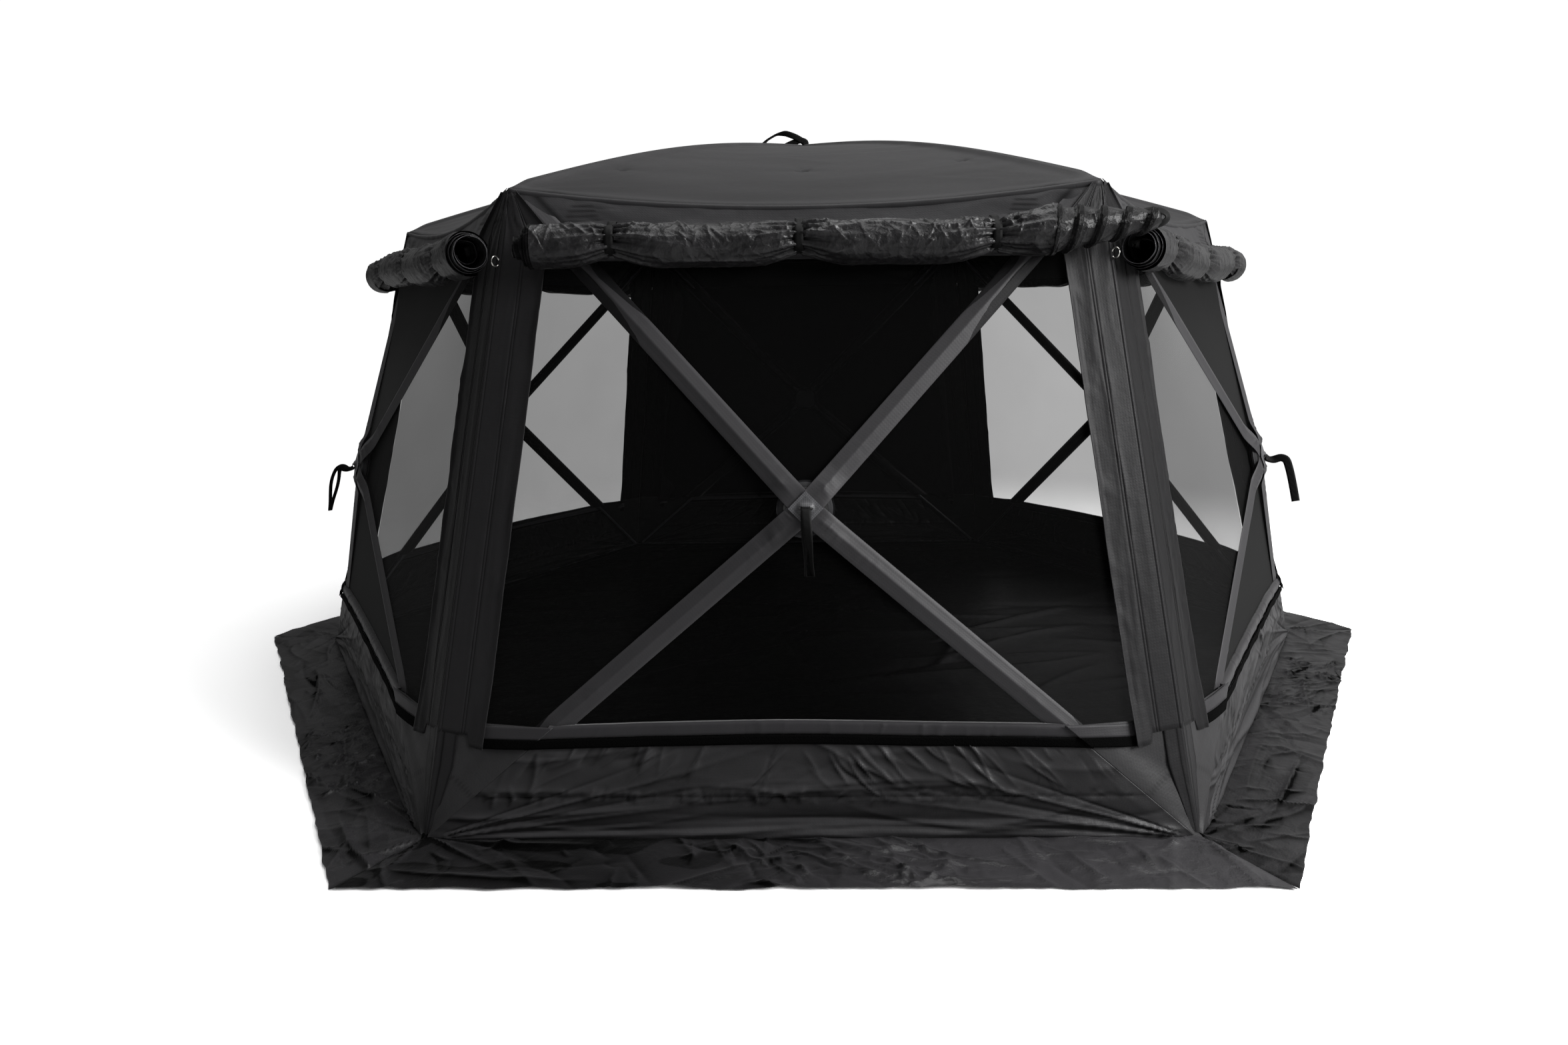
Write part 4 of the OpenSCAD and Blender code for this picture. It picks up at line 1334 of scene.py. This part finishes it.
def roll_radius(x, theta, k):
    """Radius and relief of a roll: pinched at its ties, puffed between them and creased on top."""
    seed = 1000 + 30 * k
    d = tie_distance(x, k)
    arc = theta * ROLL_R
    pinch = 0.0190 * np.exp(-((d / 0.048) ** 1.4))
    phase = np.array([noise.noise(Vector((t * 0.8, seed, 0.0))) for t in theta[0]])
    folds = 1 - np.abs(np.sin(theta * 5.5 + 5 * phase[None, :]))
    fine = 1 - np.abs(np.sin(theta * 9.5 - 4 * phase[None, :]))
    gather = (0.7 * folds + 0.3 * fine - 0.45) * 0.0190 * np.exp(-d / 0.055) * smooth(d / 0.010)
    girth = 2 * np.pi * ROLL_R
    span = (roll_span(k), (0.0, girth))
    count = 240 if k == FRONT_WALL else 120
    diamonds = creases(x, arc, count, seed, span, 0.95, 0.22, 0.042, 0.0030, 0.0050)
    diamonds = diamonds + creases(x, arc, count, seed + 1, span, -0.95, 0.22, 0.042, 0.0030, 0.0050)
    on_top = 0.35 + 0.65 * smooth((0.15 - np.cos(theta)) / 0.6)
    slack = creases(x, arc, 26, seed + 2, span, 0.1, 0.2, 0.14, 0.008, 0.006)
    pts = np.stack([x, np.cos(theta) * ROLL_R, np.sin(theta) * ROLL_R], axis=-1)
    lumps = wobble(pts, 0.12, seed + 3) * 0.003
    calm = smooth(d / 0.02)
    body = 0.0515 + 0.006 * smooth((x - 0.50) / 0.10) if k == FRONT_WALL else 0.0560
    relief = gather + (diamonds * on_top + slack) * calm
    return body - pinch + lumps + relief, relief


def roll_points(k, x, theta, w, centre):
    xx, tt = np.meshgrid(x, theta, indexing="ij")
    r, relief = roll_radius(xx, tt, k)
    # painted light and shade from the relief: lighter on the ridges, darker in the fold valleys
    tone = np.clip((relief - 0.0005) * 110, -0.7, 0.35)
    if k == FRONT_WALL:
        edge = xx - roll_span(k)[0]
        r = r - 0.0055 * (1 - smooth((edge - CUFF_INNER) / 0.002))
        tone = np.where(edge < CUFF_BINDING, -0.90, tone)
        for line in (0.0, CUFF_INNER, CUFF_BINDING - 0.006):
            tone = tone + 0.22 * np.exp(-(((edge - line - 0.0012) / 0.0014) ** 2))
    spin = -(tt + np.pi / 2)
    dir_out = np.cos(spin)[..., None] * -w.radial + np.sin(spin)[..., None] * UP
    pts = centre + w.along * xx[..., None] + dir_out * r[..., None] + UP * roll_rise(xx, k)[..., None]
    return rest_on_band(pts, w), tone


def rest_on_band(pts, w):
    """Flattens cloth where it would sink through the band behind it."""
    mid = (w.roof[0] + w.roof[1]) / 2
    n = outward(unit(np.cross(w.along, mid - w.hub)), w)
    sink = np.maximum(0.006 - (pts - mid) @ n, 0.0)
    return pts + n * sink[..., None]


def roll_centre(w):
    inset, drop = ROLL_SET.get(w.k, (0.018, 0.016))
    return w.radial * (ROLL_A - inset) + UP * (ROLL_Z - drop)


def build_rolls():
    for k in range(SIDES):
        if k == BACK_WALL:
            continue
        w = WALLS[k]
        centre = roll_centre(w)
        front = k == FRONT_WALL
        start, end = roll_span(k)
        x = np.linspace(start, end, 540 if front else 330)
        x = np.union1d(x, np.linspace(start, start + 0.06, 60 if front else 2))
        theta = np.linspace(0, 2 * np.pi, 128 if front else 90, endpoint=False)
        pts, tone = roll_points(k, x, theta, w, centre)
        half = int(np.searchsorted(x, 0.0))
        for part, letter in ((slice(0, half + 1), "a"), (slice(half, None), "b")):
            obj = sheet(f"wind_roll_{k}_{letter}", pts[part], "panel", tone[part], closed=True)
            roll_fold(obj, "rolled_wind_panels", w, letter)
        build_roll_ends(w, centre, k)
        build_ties(w, centre, k)


def roll_fold(obj, replaced, w, letter):
    """obj stands in for a CAD node and rides the upper pole on its side."""
    ride(obj, replaced, f"upper_pole_{w.k}_{letter}")
    gather(obj, w.along, w.roof["ab".index(letter)])


def spiral(w, centre, sign, seed):
    """Rolled layers at a roll's end: a spiral whose inner turns stand further out, then fall back."""
    turns = 4.2
    share = np.linspace(0, 1, int(80 * turns))
    a = 2 * np.pi * turns * share + 0.7 * seed
    front = w.k == FRONT_WALL
    r = (0.0380 if front else 0.0530) - 0.0150 * np.minimum(share / 0.72, 1)
    r = r - (0.008 if front else 0.016) * smooth((share - 0.74) / 0.26)
    jut = 0.003 * np.array([noise.noise(Vector((t * 0.9, seed, 0))) for t in a])
    r = r + 0.0016 * np.array([noise.noise(Vector((t * 1.7, seed, 4.0))) for t in a])
    out = (0.032 if front else 0.042) * smooth(share / 0.70) - 0.060 * smooth((share - 0.74) / 0.10) + jut
    end = roll_span(w.k)[0 if sign < 0 else 1]
    rise = roll_rise(np.array(end), w.k)
    depth = np.array([0.0, 0.0012, 0.003, 0.02, 0.06, 0.12])
    x = end + sign * (out[None, :] - 0.004 - depth[:, None])
    pts = centre + w.along * x[..., None]
    pts = pts + w.radial * (r * np.cos(a))[None, :, None] + UP * (r * np.sin(a) + rise)[None, :, None]
    # painted highlight along the outer rolled edges, painted shade one row deeper in; on the front roll,
    # darker overall with only a faint painted highlight
    rim = np.zeros(x.shape)
    rim[:2] = 0.8 + 3.5 * hump(share, 0.66, 0.12)
    rim[3] = -0.35
    if front:
        rim = rim * 0.25 - 0.80
    return pts, rim


def build_roll_ends(w, centre, k):
    for side, letter in enumerate("ab"):
        if k == FRONT_WALL and side == 1:
            build_cone(w, centre, k)
            continue
        pts, rim = spiral(w, centre, side_sign(side), 2 * k + side)
        obj = sheet(f"roll_spiral_{k}_{letter}", pts, "panel", rim, thick=CLOTH)
        roll_fold(obj, "rolled_wind_panels", w, letter)


BANDS = 4.6
CONE_LENGTH = 0.262


def build_cone(w, centre, k):
    """The front roll's loose end: a narrowing spiral with bound edges and a loop of binding."""
    n_x, n_t = 170, 96
    f = np.linspace(0, 1, n_x)
    theta = np.linspace(0, 2 * np.pi, n_t, endpoint=False)
    ff, tt = np.meshgrid(f, theta, indexing="ij")
    step = (ff**0.9 * BANDS - tt / (2 * np.pi)) % 1.0
    binding = smooth((step - 0.02) / 0.04) * (1 - smooth((step - 0.26) / 0.04))
    x = roll_span(k)[1] - 0.012 + ff * CONE_LENGTH
    arc = tt * 0.05
    rough = creases(x, arc, 90, 1300, ((0.59, 0.86), (0.0, 0.31)), 0.8, 0.6, 0.03, 0.0035, 0.0040)
    r = 0.0560 * (1 - ff * 0.60) - 0.009 * (step - 0.5) + 0.0030 * binding + rough * (1 - binding)
    r = r * (1 - 0.5 * smooth((ff - 0.95) / 0.05))
    rise = roll_rise(np.array(roll_span(k)[1]), k) + 0.023 * ff
    pts = centre + w.along * x[..., None] + UP * rise[..., None]
    pts = pts + (np.cos(tt)[..., None] * w.radial + np.sin(tt)[..., None] * UP) * r[..., None]
    # painted light and shade from the creases' relief, darker overall, and darker still on the binding
    tone = np.clip(rough * 110, -0.5, 0.3) * (1 - binding) - 0.32 - 0.45 * binding
    obj = sheet("roll_cone", pts, "panel", tone, closed=True)
    roll_fold(obj, "rolled_wind_panels", w, "b")
    tip = centre + w.along * (roll_span(k)[1] + CONE_LENGTH - 0.030) + UP * (rise[-1, 0] + 0.004)
    a = np.linspace(-0.5 * np.pi, 0.8 * np.pi, 40)
    path = tip + np.outer(0.034 * np.cos(a), w.along) + np.outer(0.017 * np.sin(a), UP)
    flat = np.outer(np.cos(a), w.along) + np.outer(np.sin(a), UP)
    side = flat * 0.75 - w.radial * 0.66
    loop = sheet("roll_tail", ribbon(path, side, 0.020, 4), "webbing", thick=0.0026)
    roll_fold(loop, "rolled_wind_panels", w, "b")


TIE_TURNS = 1.16


def build_ties(w, centre, k):
    """A strap round each pinch, its end lapped over its start and its back drawn up to the band."""
    for i, t in enumerate(ties_of(k)):
        a = np.linspace(0, 2 * np.pi * TIE_TURNS, 70) + 0.35
        r = 0.0345 if k == FRONT_WALL else 0.0385
        r = r + 0.0010 * np.sin(3 * a + i) + 0.0024 * smooth((a - 2 * np.pi) / 0.4)
        hanger = np.exp(-(np.angle(np.exp(1j * (a - 2.25))) / 0.30) ** 2)
        r = r + 0.026 * hanger
        rise = float(roll_rise(np.array(t), k))
        turn = np.outer(r * np.sin(a) + rise, UP) - np.outer(r * np.cos(a), -w.radial)
        path = centre + w.along * t + turn
        pts = ribbon(path, w.along, 0.021, 4)
        obj = sheet(f"roll_tie_{k}_{i}", pts, "webbing", thick=0.0018)
        roll_fold(obj, "roll_ties", w, "a" if t <= 0 else "b")


# ---- rings ----
def build_rings():
    for k in range(SIDES):
        drop = 0.178
        r_c = ROOF_R + drop * (BASE_R - ROOF_R) / ROOF_Z + 0.015
        c = polar(60 * k, r_c, ROOF_Z - drop)
        radial = polar(60 * k, 1, 0)
        along = polar(60 * k + 90, 1, 0)
        a = np.linspace(0, 2 * np.pi, 48, endpoint=False)
        b = np.linspace(0, 2 * np.pi, 12, endpoint=False)
        aa, bb = np.meshgrid(a, b, indexing="ij")
        ring = 0.0125 + 0.0018 * np.cos(bb)
        pts = c + (ring * np.cos(aa))[..., None] * radial + (ring * np.sin(aa))[..., None] * UP
        pts = pts + (0.002 * np.sin(bb))[..., None] * along
        pts = np.concatenate([pts, pts[:1]], axis=0)
        obj = sheet(f"tie_ring_{k}", pts, "ring", closed=True)
        ride(obj, "tie_rings", f"roof_pole_{k}")
        tab = np.linspace(0, 1, 8)
        path = c - radial * 0.015 + np.outer(tab * 0.05, UP) - np.outer(tab * 0.012, radial)
        web = sheet(f"ring_tab_{k}", ribbon(path, along, 0.016, 3), "webbing", thick=0.0014)
        ride(web, "tie_rings", f"roof_pole_{k}")


# ---- build ----
for wall in WALLS:
    build_wall(wall)
    build_strap(wall)
build_roof()
build_roof_loop()
build_ground()
build_hung_panel()
build_rolls()
build_rings()

for name, obj in frame["nodes"].items():
    if obj.hide_render:
        continue
    look = "hub" if "hub" in name else "rod"
    obj.data.materials.clear()
    obj.data.materials.append(MAT[look])
    obj.data.shade_smooth()
    edge = obj.modifiers.new("edges", "EDGE_SPLIT")
    edge.split_angle = math.radians(35)


# ---- stage, light and camera ----
def camera_switch(tree, seen, other):
    """One value for what the camera sees directly and another for the light that bounces."""
    path = node(tree, "ShaderNodeLightPath").outputs["Is Camera Ray"]
    lift = math_node(tree, "MULTIPLY", path, seen - other)
    return math_node(tree, "ADD", lift, other)


FLOOR_SEEN = 2.0
FLOOR_BOUNCE = 0.50


def build_stage_floor():
    """White ground that takes shadows near the shelter and fades to plain white further out."""
    half = 60.0
    mesh = bpy.data.meshes.new("stage_floor")
    corners = [(-half, -half, -0.001), (half, -half, -0.001), (half, half, -0.001), (-half, half, -0.001)]
    mesh.from_pydata(corners, [], [(0, 1, 2, 3)])
    floor = bpy.data.objects.new("stage_floor", mesh)
    bpy.context.scene.collection.objects.link(floor)
    mat = bpy.data.materials.new("stage_white")
    mat.use_nodes = True
    tree = mat.node_tree
    diffuse = node(tree, "ShaderNodeBsdfDiffuse")
    grey = node(tree, "ShaderNodeCombineColor")
    value = camera_switch(tree, FLOOR_SEEN, FLOOR_BOUNCE)
    for channel in ("Red", "Green", "Blue"):
        link(tree, value, grey.inputs[channel])
    link(tree, grey.outputs[0], diffuse.inputs["Color"])
    glow = node(tree, "ShaderNodeEmission", Strength=1.05)
    coord = node(tree, "ShaderNodeNewGeometry").outputs["Position"]
    distance = node(tree, "ShaderNodeVectorMath", operation="LENGTH")
    link(tree, coord, distance.inputs[0])
    fade = node(tree, "ShaderNodeMapRange", interpolation_type="SMOOTHSTEP")
    fade.inputs["From Min"].default_value = 2.6
    fade.inputs["From Max"].default_value = 4.6
    link(tree, distance.outputs["Value"], fade.inputs["Value"])
    camera_only = node(tree, "ShaderNodeLightPath").outputs["Is Camera Ray"]
    mix = node(tree, "ShaderNodeMixShader")
    link(tree, math_node(tree, "MULTIPLY", fade.outputs["Result"], camera_only), mix.inputs[0])
    link(tree, diffuse.outputs[0], mix.inputs[1])
    link(tree, glow.outputs[0], mix.inputs[2])
    link(tree, mix.outputs[0], tree.nodes["Material Output"].inputs["Surface"])
    mesh.materials.append(mat)


def build_world():
    """White to the camera; dimmer light from the left and the back than from the right and above."""
    world = bpy.data.worlds.new("studio")
    bpy.context.scene.world = world
    world.use_nodes = True
    tree = world.node_tree
    background = tree.nodes["Background"]
    background.inputs["Color"].default_value = (1, 1, 1, 1)
    direction = node(tree, "ShaderNodeTexCoord").outputs["Generated"]
    split = node(tree, "ShaderNodeSeparateXYZ")
    link(tree, direction, split.inputs[0])
    rightward = math_node(tree, "MULTIPLY", math_node(tree, "MAXIMUM", split.outputs["X"], 0.0), 0.55)
    upward = math_node(tree, "MULTIPLY", math_node(tree, "MAXIMUM", split.outputs["Z"], 0.0), 0.30)
    soft = math_node(tree, "ADD", math_node(tree, "ADD", rightward, upward), 0.06)
    path = node(tree, "ShaderNodeLightPath").outputs["Is Camera Ray"]
    rest = math_node(tree, "MULTIPLY", soft, math_node(tree, "SUBTRACT", 1.0, path))
    seen = math_node(tree, "MULTIPLY", path, 1.05)
    link(tree, math_node(tree, "ADD", rest, seen), background.inputs["Strength"])


LAMPS = (
    ("softbox_right", (5.4, -4.0, 3.6), 3.0, 540),
    ("softbox_top", (0.8, -0.8, 6.5), 4.5, 170),
)


def build_stage():
    build_stage_floor()
    build_world()
    for name, place, size, power in LAMPS:
        data = bpy.data.lights.new(name, "AREA")
        data.shape = "SQUARE"
        data.size = size
        data.energy = power
        lamp = bpy.data.objects.new(name, data)
        lamp.location = place
        aim = Vector((0, 0, 0.8)) - Vector(place)
        lamp.rotation_euler = aim.to_track_quat("-Z", "Y").to_euler()
        bpy.context.scene.collection.objects.link(lamp)


CAMERA_TURN = (-1.28, 11.49, -0.76)  # yaw, pitch down and roll, degrees
CAMERA_PLACE = (0.001, -2.091, 0.667)  # in base radii
CAMERA_LENS = 23.61


def build_camera():
    data = bpy.data.cameras.new("camera")
    data.sensor_width = 36.0
    data.lens = CAMERA_LENS
    data.clip_end = 200
    cam = bpy.data.objects.new("camera", data)
    bpy.context.scene.collection.objects.link(cam)
    yaw, pitch, roll = (math.radians(a) for a in CAMERA_TURN)
    forward = np.array([math.sin(yaw) * math.cos(pitch), math.cos(yaw) * math.cos(pitch), -math.sin(pitch)])
    right = np.array([math.cos(yaw), -math.sin(yaw), 0.0])
    up = np.cross(right, forward)
    r2 = right * math.cos(roll) + up * math.sin(roll)
    u2 = -right * math.sin(roll) + up * math.cos(roll)
    place = np.array(CAMERA_PLACE) * BASE_R
    cam.matrix_world = Matrix((
        (r2[0], u2[0], -forward[0], place[0]),
        (r2[1], u2[1], -forward[1], place[1]),
        (r2[2], u2[2], -forward[2], place[2]),
        (0, 0, 0, 1),
    ))
    bpy.context.scene.camera = cam


build_stage()
build_camera()
bpy.context.scene.view_settings.view_transform = "Standard"
